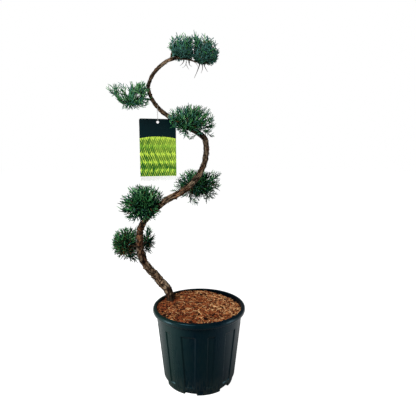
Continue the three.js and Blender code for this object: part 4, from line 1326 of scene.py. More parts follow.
@dataclass
class Stem:
    """The wound stem with its boughs, loose flakes of bark and old cuts.

    The tables warmth and gloom say how red the bark is and how much painted shade lies on it, by
    places on the stem.
    """

    flakes: int = 1500
    flake_seed: int = 61
    stub_seed: int = 71
    flake_slant: Pair = (-0.22, 0.22)
    stub_thick: Pair = (1.3, 2.2)
    flake_long: Pair = (5.0, 21.0)
    flake_wide: Pair = (0.7, 2.5)
    flake_curl: Pair = (0.3, 4.6)
    flake_thick: float = 0.3
    flake_tips: Pair = (0.4, 0.8)
    flake_ends: Pair = (6.0, 24.0)
    flake_tones: Pair = (0.28, 0.48)
    usual_radius: float = 11.0
    warmth: Table = (
        (0, 0.35), (2.5, 0.4), (3.8, 1.0), (4.05, 1.0), (4.25, 2.3), (4.75, 2.3), (4.95, 0.9),
        (6.0, 0.8), (7.2, 0.9), (8.5, 0.4), (10.5, 0.15), (12.5, 0.4), (16.0, 0.6), (20.0, 0.5),
    )
    gloom: Table = (
        (0, 0.45), (0.8, 0.2), (1.6, 0.1), (2.6, 0.3), (3.2, 0.5), (3.9, 0.5), (4.15, 0.0),
        (4.6, 0.0), (4.9, 0.45), (5.3, 0.2), (5.8, 0.1), (6.3, 0.0), (7.2, 0.05), (8.2, 0.25),
        (9.3, 0.55), (11.4, 0.7), (12.2, 0.0), (20.0, 0.0),
    )
    knobs: tuple[Knob, ...] = (
        Knob(1.4, 2.6), Knob(2.3, 5.6), Knob(2.75, 2.2, 2.6), Knob(3.3, 0.9), Knob(3.9, 3.4, 1.8),
        Knob(4.5, 5.2, 1.8), Knob(5.4, 1.2), Knob(6.6, 4.0, 1.6), Knob(8.3, 2.6, 1.6),
        Knob(9.4, 5.5, 1.8), Knob(10.3, 2.2, 1.6), Knob(12.3, 4.6, 1.4), Knob(13.6, 1.0, 1.2),
        Knob(15.4, 3.0, 1.0), Knob(17.2, 0.6, 1.0, 6.0), Knob(18.6, 3.3, 1.2, 6.0),
    )

    def __post_init__(self) -> None:
        """Makes the stem's curve."""
        self.curve = Route(*zip(*STEM_STATIONS))

    def build(self) -> None:
        """Builds the barked stem and boughs, the flakes, and the cut stubs."""
        bark = StringyBark("stringy_bark").material()
        limbs = {
            "barked_stem": (
                BarkedLimb(
                    self.curve,
                    5.0,
                    knobs=self.knobs,
                    flare_spread=3.0,
                    warmth=self.warmth,
                    gloom=self.gloom,
                ),
                STEM_NODES,
            )
        }
        for number, bough in enumerate(BOUGHS):
            limb = BarkedLimb(bough.curve(), 20.0 + number, columns=24, step=1.4)
            limbs[bough.name.replace("bough", "barked_bough")] = (limb, (bough.name,))
        for name, (limb, nodes) in limbs.items():
            skin = Skin()
            limb.add_to(skin)
            mount(skin.piece(name, [bark], 180), "bark", *nodes)
        self._build_flakes()
        self._build_stubs()

    def _build_flakes(self) -> None:
        """Loose strips of bark: thin strips along the limb that lift off at one end.

        A strip is four flattened rings, and its far ring is lifted by the curl times t squared.
        """
        index = np.arange(self.flakes)
        draws = (chance(self.flake_seed + number, index) for number in range(7))
        along, way, slant, long, wide, curl, tone = draws
        low, high = self.flake_ends
        place = self.curve.place_at(along * (self.curve.lengths[-1] - low - high) + low)
        turn = (index * GOLDEN_ANGLE)[:, None]
        tangent, normal, side = self.curve.frame(place)
        radius = self.curve.radius(place)
        out = circle(normal, side, turn)
        heading = np.where(way < 0.5, -1.0, 1.0)[:, None]
        slant = lerp(*self.flake_slant, slant)[:, None]
        axis = unit(tangent * heading + np.cross(out, tangent) * slant)
        stout = radius / self.usual_radius
        length = lerp(*self.flake_long, long**2) * np.clip(stout, 0.55, 1.15)
        wide = lerp(*self.flake_wide, wide**1.6) * np.clip(stout, 0.6, 1.1)
        curl = lerp(*self.flake_curl, curl**3) * np.clip(stout, 0.5, 1.1)
        stations = np.linspace(0, 1, 4)
        start = self.curve.point(place) + out * (radius * 0.96)[:, None]
        spine = start[:, None] + axis[:, None] * (length[:, None] * stations)[..., None]
        spine = spine + out[:, None] * (curl[:, None] * stations**2)[..., None]
        across = unit(np.cross(axis, out))
        fat = np.array([0.7, 1.0, 0.8, 0.35])
        thick = np.full((self.flakes, 4), self.flake_thick / SQUARE_CORNER)
        rings = square_rings(spine, across, np.cross(across, -axis), wide[:, None] * fat, thick)
        poles = end_points(spine, axis, axis, self.flake_tips)
        lowest = np.minimum(rings[..., 2].min(axis=(1, 2)), poles[..., 2].min(axis=1))
        kept = lowest > self.curve.stations[0][2]
        order = tone_numbers(WoodTone, WoodTone.FLAKE, WoodTone.UNDER, WoodTone.DARK)
        # The gloom table's painted shade also turns flakes towards the dark tone.
        tone = tone + 0.5 * read_table(self.gloom, place)
        tones = order[np.searchsorted(self.flake_tones, tone)]
        skin = Skin()
        skin.add_tubes(rings[kept], poles[kept], tones[kept], flipped=True)
        mount(skin.piece("bark_flakes", tone_materials(WoodTone), None), "bark")

    def _build_stubs(self) -> None:
        """Short stubs of shoots that were cut off, one on each knob, with a pale cut end."""
        skin, sides = Skin(), 8
        quads, triangles = tube_faces(3, sides)
        bark, cut = (int(tone) for tone in tone_numbers(WoodTone, WoodTone.DARK, WoodTone.CUT))
        for number, knob in enumerate(self.knobs):
            place = np.array([knob.place])
            tangent, normal, side = (v[0] for v in self.curve.frame(place))
            out = normal * math.cos(knob.turn) + side * math.sin(knob.turn)
            axis = unit(out + tangent * 0.35)
            first, second = cross_frame(axis)
            radius = self.curve.radius(place)[0]
            base = self.curve.point(place)[0] + out * radius * 0.7
            long = knob.rise * 1.5 + radius * 0.42
            thick = lerp(*self.stub_thick, chance(self.stub_seed, number)) * knob.wide / Knob.wide
            steps = np.array([0.0, 0.92, 1.0])[:, None, None] * long
            fat = np.array([1.25, 1.0, 0.86])[:, None, None] * thick
            around = circle(first, second, even_turns(sides)[None, :, None])
            ring = base + axis * steps + fat * around
            points = np.vstack([ring.reshape(-1, 3), base - axis, base + axis * long])
            skin.add(points, quads, triangles[:sides], bark)
            skin.add_faces(triangles[sides:] - len(points), cut)
        mount(skin.piece("cut_stubs", tone_materials(WoodTone), 40), "bark")


# The masses of foliage, grown by the rule of the solids and carried on to finer twigs.


@dataclass(frozen=True)
class Opening:
    """A place where the sky shows through a mass, seen from the photograph's side."""

    at: Triple
    radius: float


@dataclass(frozen=True)
class MassPlan:
    """A mass of foliage: its space round a heart, its lean, and the stem that it grows from."""

    name: str
    seed: int
    sprays: int
    heart: Triple
    reach: tuple[float, float, float, float]
    lean: Triple
    fan: float
    stem: tuple[Triple, ...]
    finer: float = 4.0
    strand: Pair = (23.0, 12.0)
    blue: float = 0.25
    dry: float = 0.04
    wild: float = 1.0
    shade: float = 0.0
    vivid: float = 1.0
    trim: tuple[float, float, float, float] = (1.0, 1.0, 1.0, 1.0)
    openings: tuple[Opening, ...] = ()
    extra: tuple[Triple, ...] = ()

    BOXINESS = 2.5

    def spread(self, points: Array) -> Array:
        """How far out points lie: the root of the sum of |offset / reach| to the power 2.5."""
        offset = points - np.asarray(self.heart, float)
        wide, deep, up, down = np.asarray(self.reach) * np.asarray(self.trim)
        tall = np.where(offset[..., 2] > 0, up, down)
        across, back, high = (offset[..., axis] for axis in range(3))
        shares = np.stack([across / wide, back / deep, high / tall], axis=-1)
        return np.sum(np.abs(shares) ** self.BOXINESS, axis=-1) ** (1 / self.BOXINESS)


MASSES = (
    MassPlan(
        "top_left", 11, 25, (-47, -80, 1050), (36, 46, 62, 17), (-0.1, 0, 1), 0.34,
        ((-62, -80, 1056), (-44, -78, 1062)),
        finer=6.3, strand=(15.0, 11.0), blue=0.8, dry=0.07, wild=1.9, shade=-0.12, vivid=0.65,
        trim=(1.0, 1.0, 0.87, 1.0),
        openings=(Opening((-83, -80, 1051), 9.5), Opening((-85, -80, 1096), 7.0)),
        extra=(
            (-19, -72, 1094), (-13, -84, 1094), (-15, -60, 1096), (-19, -84, 1039),
            (-22, -96, 1088), (-19, -92, 1088), (-18, -66, 1090), (-14, -76, 1085),
            (-18, -100, 1070), (-21, -98, 1055), (-16, -50, 1097), (-23, -100, 1089),
            (-15, -90, 1078), (-14, -70, 1072), (-15, -98, 1064), (-15, -80, 1060),
            (-16, -88, 1050), (-14, -66, 1050), (-17, -96, 1044), (-13, -92, 1068),
            (-14, -80, 1048), (-14, -80, 1040), (-15, -80, 1032), (-19, -80, 1037),
            (-13, -97, 1037),
        ),
    ),
    MassPlan(
        "top_right", 12, 27, (23, -66, 1049), (37, 46, 65, 26), (0.12, 0, 1), 0.4,
        ((10, -72, 1030), (30, -62, 1042)),
        finer=6.3, strand=(15.0, 11.0), blue=0.8, dry=0.07, wild=1.9, shade=-0.12, vivid=0.65,
        trim=(1.0, 1.0, 0.84, 1.0),
        extra=(
            (-7, -70, 1103), (-3, -58, 1104), (-8, -88, 1093), (-12, -70, 1041), (-4, -96, 1086),
            (-8, -96, 1087), (-7, -80, 1084), (-10, -64, 1082), (-5, -48, 1098), (-5, -98, 1055),
            (-3, -92, 1040), (2, -96, 1093), (-9, -86, 1076), (-8, -72, 1066), (-9, -96, 1060),
            (-8, -84, 1050), (-9, -64, 1056), (-11, -97, 1040),
        ),
    ),
    MassPlan(
        "upper_left", 13, 28, (-220, 28, 941), (68, 40, 48, 36), (-0.16, 0, 1), 0.36,
        ((-205, 38, 936), (-228, 30, 927), (-257, 18, 939), (-274, 12, 963)),
        finer=2.1, strand=(27.0, 16.0), blue=0.45, shade=-0.23, vivid=0.85,
        openings=(
            Opening((-226, 28, 960), 5.6), Opening((-270, 20, 923), 13.9),
            Opening((-255, 24, 915), 10.6), Opening((-238, 20, 968), 3.6),
            Opening((-203, 30, 954), 3.0),
        ),
        extra=(
            (-167, 42, 981), (-176, 36, 981), (-164, 40, 972), (-183, 30, 982), (-171, 44, 965),
            (-191, 24, 980), (-285, 16, 969), (-274, 14, 975), (-180, 48, 949), (-174, 22, 981),
            (-168, 18, 970), (-172, 16, 958), (-186, 14, 975), (-178, 24, 940), (-190, 34, 930),
            (-208, 28, 971), (-205, 28, 958), (-209, 28, 946), (-199, 28, 965), (-164, 8, 971),
            (-161, 8, 959), (-158, 8, 948), (-179, 34, 913), (-167, 6, 967), (-170, 6, 955),
            (-172, 6, 979), (-174, 6, 931),
        ),
    ),
    MassPlan(
        "upper_right", 14, 31, (-25, 44, 873), (76, 46, 51, 36), (0.3, 0, 1), 0.42,
        ((-40, 38, 878), (-20, 36, 880), (6, 40, 878)),
        finer=4.6, strand=(23.0, 12.0), blue=0.36, shade=-0.05, trim=(1.0, 1.0, 0.95, 1.0),
        extra=(
            (-66, 42, 841), (-51, 36, 835), (-37, 40, 828), (-27, 38, 811), (22, 30, 834),
            (37, 38, 837), (48, 36, 853), (-88, 50, 870), (-90, 44, 879), (-70, 24, 856),
            (-58, 18, 846), (-42, 16, 842), (-27, 16, 838), (-80, 34, 866), (-94, 46, 895),
            (-80, 40, 898), (-70, 36, 894), (-60, 30, 884), (-47, 24, 868), (-34, 20, 858),
            (-21, 18, 849), (-73, 26, 877), (-56, 20, 858), (-8, 20, 839), (-66, 30, 903),
            (4, 26, 830), (-60, 20, 833), (-47, 20, 827), (-34, 20, 817), (30, 40, 847),
            (46, 40, 821), (27, 40, 834), (43, 40, 850),
        ),
    ),
    MassPlan(
        "middle_right", 15, 29, (-9, -1, 668), (69, 44, 47, 42), (0.1, 0, 0.8), 0.62,
        ((-8, -20, 672), (-4, 6, 672)),
        finer=5.4, strand=(22.0, 12.0), blue=0.25, shade=0.05, trim=(0.93, 1.0, 0.98, 1.0),
        extra=(
            (51, 0, 703), (60, 6, 693), (62, 0, 681), (60, -4, 666), (54, 4, 653), (-72, -10, 675),
            (-78, -4, 662), (-84, -12, 648), (-28, 0, 611), (-6, -8, 605), (30, 4, 625),
            (43, -6, 707), (56, 4, 704), (54, -6, 687), (62, 4, 674), (46, 0, 645), (20, -4, 619),
            (-51, -6, 629), (69, 0, 700), (65, 0, 661), (24, -4, 613), (43, -4, 623), (53, -4, 636),
            (-2, -4, 616), (-15, -4, 613), (40, 10, 690), (36, -14, 676), (48, 14, 672),
            (30, 16, 700), (38, -20, 660), (50, -16, 690),
        ),
    ),
    MassPlan(
        "middle_left", 16, 31, (-168, -92, 619), (63, 50, 53, 54), (-0.1, 0, 0.7), 0.72,
        ((-168, -98, 612), (-172, -100, 628)),
        finer=5.6, strand=(24.0, 13.0), blue=0.12, shade=0.03, vivid=1.1,
        openings=(Opening((-222, -92, 655), 13.0),),
        extra=(
            (-131, -96, 666), (-120, -88, 661), (-109, -96, 651), (-104, -90, 634),
            (-102, -98, 620), (-113, -100, 611), (-232, -92, 601), (-233, -100, 617),
            (-212, -90, 573), (-144, -84, 666), (-123, -110, 654), (-112, -106, 639),
            (-118, -108, 624), (-136, -112, 595), (-155, -108, 576), (-231, -92, 646),
            (-228, -92, 619), (-229, -92, 591), (-209, -92, 573), (-194, -92, 564),
            (-139, -92, 579), (-130, -92, 570),
        ),
    ),
    MassPlan(
        "lower_left_outer", 17, 28, (-251, 38, 463), (48, 46, 54, 54), (-0.1, 0, 0.8), 0.7,
        ((-236, 30, 459), (-252, 38, 466)),
        finer=5.0, strand=(23.0, 12.0), blue=0.08, dry=0.2, shade=0.1, vivid=1.15,
        trim=(0.89, 1.0, 1.0, 1.0),
        extra=(
            (-265, 38, 505), (-247, 34, 516), (-231, 40, 516), (-215, 44, 510), (-274, 36, 418),
            (-255, 40, 406), (-234, 38, 400), (-216, 42, 409), (-210, 46, 436), (-212, 46, 503),
            (-207, 44, 482), (-210, 46, 457), (-214, 46, 422), (-227, 36, 404), (-242, 30, 416),
            (-222, 28, 507), (-219, 28, 486), (-220, 28, 465), (-221, 28, 445), (-218, 28, 424),
            (-218, 28, 403), (-228, 28, 413), (-229, 28, 497), (-284, 36, 432), (-274, 36, 414),
            (-213, 36, 509), (-212, 36, 491), (-213, 36, 474), (-213, 36, 457), (-214, 36, 439),
            (-213, 36, 421), (-209, 36, 407), (-212, 12, 476), (-210, 12, 466), (-214, 12, 452),
            (-213, 12, 442), (-218, 12, 432), (-221, 12, 449),
        ),
    ),
    MassPlan(
        "lower_left_inner", 18, 17, (-176, 44, 473), (30, 40, 47, 48), (0.2, 0, 0.8), 0.74,
        ((-179, 38, 469), (-177, 46, 474)),
        finer=0.8, strand=(24.0, 17.0), blue=0.15, shade=0.2, trim=(0.86, 1.0, 1.0, 1.0),
        extra=(
            (-177, 44, 514), (-167, 40, 504), (-160, 40, 448), (-173, 46, 429), (-186, 44, 423),
            (-180, 40, 504), (-177, 40, 441), (-178, 20, 454), (-175, 20, 440), (-186, 40, 488),
            (-184, 40, 458),
        ),
    ),
)


@dataclass
class Surroundings:
    """What growth keeps clear of: the limbs, the tag, and the other masses' spaces."""

    stem: Stem
    tag: "PictureTag"
    clearance: float = 0.9
    margin: float = 0.04

    LOOSE = 2.0

    def __post_init__(self) -> None:
        """Gathers balls along every limb."""
        curves = [self.stem.curve, *(bough.curve() for bough in BOUGHS)]
        centres, radii = zip(*(curve.balls(10) for curve in curves))
        self.centres, self.radii = np.concatenate(centres), np.concatenate(radii)

    def free(self, plan: MassPlan, points: Array, most: float | Array) -> Array:
        """Whether each point may hold growth of a mass.

        Args:
            plan: The mass.
            points: Points in the last axis.
            most: How far out of the mass's space a point may lie. Growth that may leave the
                space, at LOOSE and above, may also stand in another mass's.

        Returns:
            True or False for each point.
        """
        flat = points.reshape(-1, 3)
        own = plan.spread(flat)
        others = np.min([other.spread(flat) for other in MASSES if other is not plan], axis=0)
        limit = np.broadcast_to(most, points.shape[:-1]).ravel()
        free = (own < limit) & ((others > own + self.margin) | (limit >= self.LOOSE))
        gaps = np.linalg.norm(flat[:, None] - self.centres[None], axis=-1) - self.radii
        free &= gaps.min(axis=1) > self.clearance
        free &= ~self.tag.holds(flat, self.clearance)
        for opening in plan.openings:
            ray = unit(np.asarray(opening.at) - np.asarray(VIEWPOINT))
            offset = flat - np.asarray(opening.at)
            away = np.linalg.norm(offset - (offset @ ray)[:, None] * ray, axis=1)
            free &= away > opening.radius
        return free.reshape(points.shape[:-1])


@dataclass
class Branchlets:
    """Thin green shoots, one a row, as start + length (heading t + bend t squared)."""

    start: Array
    heading: Array
    length: Array
    bend: Array
    needles: int = 13
    needle_long: Pair = (4.4, 3.2)
    needle_wide: float = 1.7
    needle_tilt: Pair = (0.5, 0.24)
    usual_length: float = 16.0

    def point(self, share: Array | float) -> Array:
        """Points at shares of the length, as (branchlet, share, axis)."""
        t = np.atleast_1d(share)[None, :, None]
        way = self.heading[:, None] * t + self.bend[:, None] * t**2
        return self.start[:, None] + self.length[:, None, None] * way

    def kept(self, mask: Array) -> "Branchlets":
        """Those for which the mask is true."""
        names = ("start", "heading", "length", "bend")
        return replace(self, **{name: getattr(self, name)[mask] for name in names})

    def add_stems(self, skin: Skin, tones: Array) -> None:
        """Adds their stems, which are three-sided spindles."""
        centre = self.point(np.array([0.02, 0.55, 0.9]))
        first, second = cross_frame(self.heading)
        around = circle(first[:, None], second[:, None], THIRDS)
        fat = np.array([1.15, 1.2, 0.8])[None, :, None, None]
        rings = centre[:, :, None] + fat * around[:, None]
        skin.add_tubes(rings, self.point(np.array([-0.02, 1.0])), tones)

    def add_needles(self, skin: Skin, tones: Array) -> None:
        """Adds needles that stand round them: slim pyramids on a three-cornered base.

        They follow each other by the golden angle, and lie closer to the branchlet near its tip.

        Args:
            skin: The skin that they are added to.
            tones: The branchlets' tones, which their needles take on.
        """
        number, count = np.arange(self.needles), np.arange(len(self.start))
        share = (number + 0.6) / self.needles
        centre = self.point(share)
        slope = unit(self.heading[:, None] + 2 * self.bend[:, None] * share[None, :, None])
        turn = (number[None] * GOLDEN_ANGLE + count[:, None] * 0.9)[..., None]
        tilt = lerp(*self.needle_tilt, share)[None, :, None]
        point = unit(slope * np.cos(tilt) + circle(*cross_frame(slope), turn) * np.sin(tilt))
        stout = np.clip(self.length / self.usual_length, 0.75, 1.1)[:, None]
        size = lerp(*self.needle_long, share)[None] * stout
        across, over = cross_frame(point)
        around = circle(across[:, :, None], over[:, :, None], THIRDS)
        base = centre[:, :, None] + self.needle_wide / 2 * around
        tip = (centre + point * size[..., None])[:, :, None]
        points = np.concatenate([base, tip], axis=2).reshape(-1, 4, 3)
        faces = np.array([[0, 2, 1], [0, 1, 3], [1, 2, 3], [2, 0, 3]])
        skin.add_copies(points, NO_FACES, faces, np.repeat(tones, self.needles))


@dataclass
class FoliageMass:
    """One mass: its stem, its sprays as twigs, and the branchlets with their needles."""

    plan: MassPlan
    bough: LimbPlan
    around: Surroundings
    long: Pair = (27.0, 41.0)
    least: float = 15.0
    tips: Pair = (0.87, 1.02)
    foot_limit: float = 0.82
    hang_below: float = -0.35
    hang_lean: float = 0.15
    branch_at: float = 0.35
    inner: float = 0.68
    joints: int = 14
    tried: int = 6
    twig_limit: float = 1.06
    twig_wide: Pair = (0.6, 1.15)
    per_twig: int = 11
    twig_part: Pair = (0.2, 0.985)
    tilt: Pair = (1.05, 0.42)
    tilt_varies: Pair = (0.5, 1.45)
    length_varies: Pair = (0.55, 1.25)
    edge: Pair = (0.96, 1.1)
    loose_length: float = 0.8
    curl: float = 0.55
    branchlet_limit: float = 1.13
    shortest: float = 4.5
    light: Triple = (0.3, 0.22, 0.16)
    tone_steps: tuple[float, ...] = (0.26, 0.5, 0.8, 1.02)
    blue_light: Triple = (0.2, 0.62, 0.4)
    dry_below: float = 2.2

    def draw(self, offset: int, index: Array, low: float = 0.0, high: float = 1.0) -> Array:
        """Chance numbers of this mass between two values."""
        return lerp(low, high, chance(self.plan.seed + offset, index))

    def sprays(self) -> tuple[Array, Array]:
        """The sprays' tips and feet by the source's rule, with every third spray further in.

        Tips are spread evenly over the space by the golden angle, and each spray points
        between straight out and the mass's lean. A foot that leaves the space is drawn in.
        """
        plan = self.plan
        count = round(plan.sprays * plan.finer)
        index = np.arange(count)
        height = 1 - 2 * (index + 0.5) / count
        out = lathe(np.sqrt(1 - height**2), index * GOLDEN_ANGLE + plan.seed, height)
        heart, lean = np.asarray(plan.heart, float), np.asarray(plan.lean)
        inward = lerp(self.inner, 1, self.draw(9, index) ** 2)
        share = self.draw(0, index, *self.tips) * np.where(index % 3 == 2, inward, 1)
        tips = heart + out * (share / plan.spread(heart + out))[:, None]
        leaning = lean * np.where(height < self.hang_below, self.hang_lean, 1)[:, None]
        axes = unit(out * plan.fan + leaning * (1 - plan.fan))
        length = self.draw(5, index, *self.long)
        more = np.asarray(plan.extra, float).reshape(-1, 3)
        sway = self.draw(40, np.arange(more.size)).reshape(-1, 3) - 0.5
        tips = np.vstack([tips, more])
        axes = np.vstack([axes, unit(unit(more - heart) + lean * 0.5 + sway * 0.9)])
        length = np.append(length, np.full(len(more), self.long[0]))
        for _ in range(12):
            leaves = plan.spread(tips - axes * length[:, None]) > self.foot_limit
            length = np.where(leaves & (length > self.least), length * 0.9, length)
        return tips, tips - axes * length[:, None]

    def mass_stem(self) -> Route:
        """The mass's stem, from its bough's tip through the listed points."""
        end = self.bough.curve()
        last = np.array([float(end.last)])
        tangent = end.tangent(last)[0]
        start = end.point(last)[0] + tangent * GAP / 2
        stations = [start - tangent * 2, start + tangent * 5, *map(np.asarray, self.plan.stem)]
        return Route(stations, np.linspace(self.bough.wide[1], 2.0, len(stations)))

    def grow(self, stem: Route) -> tuple[Array, Array, Array]:
        """Roots each spray on the nearest joint and draws its twig.

        Joints lie on the stem and a third of the way along the twigs that grew before. A twig
        is a curve of second degree from its root, towards its foot, and out to its tip.

        Returns:
            Three control points of each twig, its width at the root, and how far out of the
            mass's space its branchlets may lie.
        """
        tips, feet = self.sprays()
        limit = np.full(len(tips), self.twig_limit)
        limit[len(tips) - len(self.plan.extra):] = self.around.LOOSE
        places = np.linspace(1.0, stem.last, self.joints)
        joints, thick = list(stem.point(places)), list(stem.radius(places))
        controls, widths, limits = [], [], []
        free = self.around.free(self.plan, tips, limit)
        for number in np.argsort(self.plan.spread(feet)):
            if not free[number]:
                continue
            tip, foot = tips[number], feet[number]
            away = np.linalg.norm(np.array(joints) - foot, axis=1)
            for choice in np.argsort(away)[:self.tried]:
                root = joints[choice]
                middle = lerp(root, foot, 0.75) + (foot - tip) * 0.1
                tested = lerp(middle, tip, np.linspace(0, 1, 5)[:, None])
                if self.around.free(self.plan, tested, limit[number] + 0.02).all():
                    controls.append([root, middle, tip])
                    widths.append(min(thick[choice] * 0.75, self.draw(2, number, *self.twig_wide)))
                    limits.append(limit[number])
                    joints.append(bezier(np.array(controls[-1:]), np.array([self.branch_at]))[0, 0])
                    thick.append(widths[-1] * 0.8)
                    break
        return np.array(controls), np.array(widths), np.array(limits)

    def build(self) -> None:
        """Builds the mass's twigs and its needles, as two pieces."""
        name, stem = self.plan.name, self.mass_stem()
        controls, widths, limits = self.grow(stem)
        skin = Skin()
        self._add_stem(skin, stem)
        wood = tone_numbers(WoodTone, WoodTone.TWIG)
        add_twigs(skin, controls, widths, np.repeat(wood, len(controls)))
        twigs = skin.piece(f"twigs_{name}", tone_materials(WoodTone), 60)
        mount(twigs, "foliage", f"foliage_{name}")
        shoots, tones = self.branchlets(controls, limits)
        skin = Skin()
        shoots.add_stems(skin, tones)
        shoots.add_needles(skin, tones)
        needles = skin.piece(f"needles_{name}", tone_materials(NeedleTone), None)
        mount(needles, "foliage", f"foliage_{name}")

    def _add_stem(self, skin: Skin, stem: Route, rows: int = 14, sides: int = 6) -> None:
        """The mass's stem as a knotty tapering tube."""
        places = np.linspace(0, stem.last, rows)
        _, normal, side = stem.frame(places)
        knots = self.draw(0, np.arange(rows * sides)).reshape(rows, sides) - 0.5
        knotty = stem.radius(places)[:, None] * (1 + 0.16 * knots)
        around = circle(normal[:, None], side[:, None], even_turns(sides)[None, :, None])
        ends = np.array([0.0, float(stem.last)])
        poles = stem.point(ends) + np.array([[0.0], [1.5]]) * stem.tangent(ends)
        wood = int(tone_numbers(WoodTone, WoodTone.TWIG)[0])
        skin.add_tube(stem.point(places)[:, None] + knotty[..., None] * around, poles, wood)

    def branchlets(self, controls: Array, limits: Array) -> tuple[Branchlets, Array]:
        """Branchlets that spiral up each twig, with their tones.

        A branchlet leaves its twig at a tilt that closes towards the tip, and curls to a side.
        It is shortened where it would leave the mass's space.

        Args:
            controls: The twigs' control points.
            limits: How far out of the mass's space each twig's branchlets may lie.

        Returns:
            The branchlets that are free of everything else, and the tone of each.
        """
        plan, per = self.plan, self.per_twig
        count, step = len(controls), np.arange(per)
        share = lerp(*self.twig_part, (step + 0.5) / per)
        index = np.arange(count * per)
        start = bezier(controls, share).reshape(-1, 3)
        tangent = bezier_slope(controls, share).reshape(-1, 3)
        turn = (step[None] * GOLDEN_ANGLE + np.arange(count)[:, None] * 1.7).ravel()[:, None]
        along, lean = np.tile(share, count), np.asarray(plan.lean)
        tilt = lerp(self.tilt[0], self.tilt[1] * plan.wild, along)
        tilt = (tilt * self.draw(21, index, *self.tilt_varies))[:, None]
        heading = unit(
            tangent * np.cos(tilt)
            + circle(*cross_frame(tangent), turn) * np.sin(tilt)
            + lean * (1 - plan.fan) * 0.3 / plan.wild**2
        )
        length = lerp(*plan.strand, along) * self.draw(22, index, *self.length_varies)
        end = start + heading * length[:, None]
        loose = np.repeat(limits, per) >= self.around.LOOSE
        most = lerp(*self.edge, self.draw(23, index) ** 3)
        here, there = plan.spread(start), plan.spread(end)
        fit = np.clip((most - here) / np.maximum(there - here, 1e-6), 0.3, 1)
        fit = np.where((there > most) & ~loose, fit, np.where(loose, self.loose_length, 1.0))
        length = length * fit
        curl = np.stack([self.draw(24 + axis, index) - 0.5 for axis in range(3)], axis=-1)
        bend = curl * self.curl * plan.wild + lean * 0.08
        shoots = Branchlets(start, heading, length, bend)
        limit = np.where(loose, self.around.LOOSE, self.branchlet_limit)
        free = length > self.shortest
        for point in (0.5, 1.0):
            free &= self.around.free(plan, shoots.point(point)[:, 0], limit)
        return shoots.kept(free), self._tones(shoots.point(1.0)[free, 0], index[free])

    def _tones(self, ends: Array, index: Array) -> Array:
        """Deals a green to each branchlet, by chance and by painted light: painted shade low and
        inside, lit greens and painted highlights high and outside.
        """
        plan = self.plan
        high = np.clip((ends[:, 2] - plan.heart[2]) / plan.reach[2], -1, 1)
        out = np.clip(plan.spread(ends), 0, 1.1)
        level, by_out, by_high = self.light
        swing = plan.vivid * (self.draw(31, index) - 0.5)
        # Painted light: the light level picks shaded or lit copies of the green by height and by
        # how far out a branchlet lies.
        light = level - plan.shade + by_out * out + by_high * high + swing
        greens = (NeedleTone.SHADE, NeedleTone.DEEP, NeedleTone.GREEN, NeedleTone.LIT_GREEN)
        order = tone_numbers(NeedleTone, *greens, NeedleTone.HIGHLIGHT)
        blue, dry = tone_numbers(NeedleTone, NeedleTone.BLUE, NeedleTone.DRY)
        tones = order[np.searchsorted(self.tone_steps, light)]
        least, most, more = self.blue_light
        is_blue = (light > least) & (light < most + more * plan.blue)
        tones = np.where((self.draw(33, index) < plan.blue) & is_blue, blue, tones)
        is_dry = self.draw(32, index) < plan.dry * np.where(high < 0, self.dry_below, 1)
        return np.where(is_dry & (out < 0.9), dry, tones)


def bezier(controls: Array, shares: Array) -> Array:
    """Points of curves of second degree, as (curve, share, axis).

    Each is (1-t)^2 a + 2 t (1-t) b + t^2 c at a share t, with the control points a, b and c.
    """
    t = shares[None, :, None]
    a, b, c = (controls[:, None, place] for place in range(3))
    return (1 - t) ** 2 * a + 2 * t * (1 - t) * b + t**2 * c


def bezier_slope(controls: Array, shares: Array) -> Array:
    """Unit directions of the same curves: (1-t)(b-a) + t (c-b)."""
    t = shares[None, :, None]
    a, b, c = (controls[:, None, place] for place in range(3))
    return unit((1 - t) * (b - a) + t * (c - b))


def add_twigs(skin: Skin, controls: Array, widths: Array, tones: Array, sides: int = 5) -> None:
    """Adds twigs as closed tubes that taper to a quarter of their width.

    Args:
        skin: The skin that they are added to.
        controls: Three control points for each.
        widths: Their radii at the root.
        tones: Their tones.
        sides: Faces round each.
    """
    shares = np.linspace(0, 1, 7)
    centre, slope = bezier(controls, shares), bezier_slope(controls, shares)
    first, second = cross_frame(slope)
    fat = (widths[:, None] * lerp(1.0, 0.25, shares)[None])[..., None, None]
    around = circle(first[:, :, None], second[:, :, None], even_turns(sides)[:, None])
    poles = end_points(centre, slope[:, 0], slope[:, -1], (0.3, 0.6))
    skin.add_tubes(centre[:, :, None] + fat * around, poles, tones)


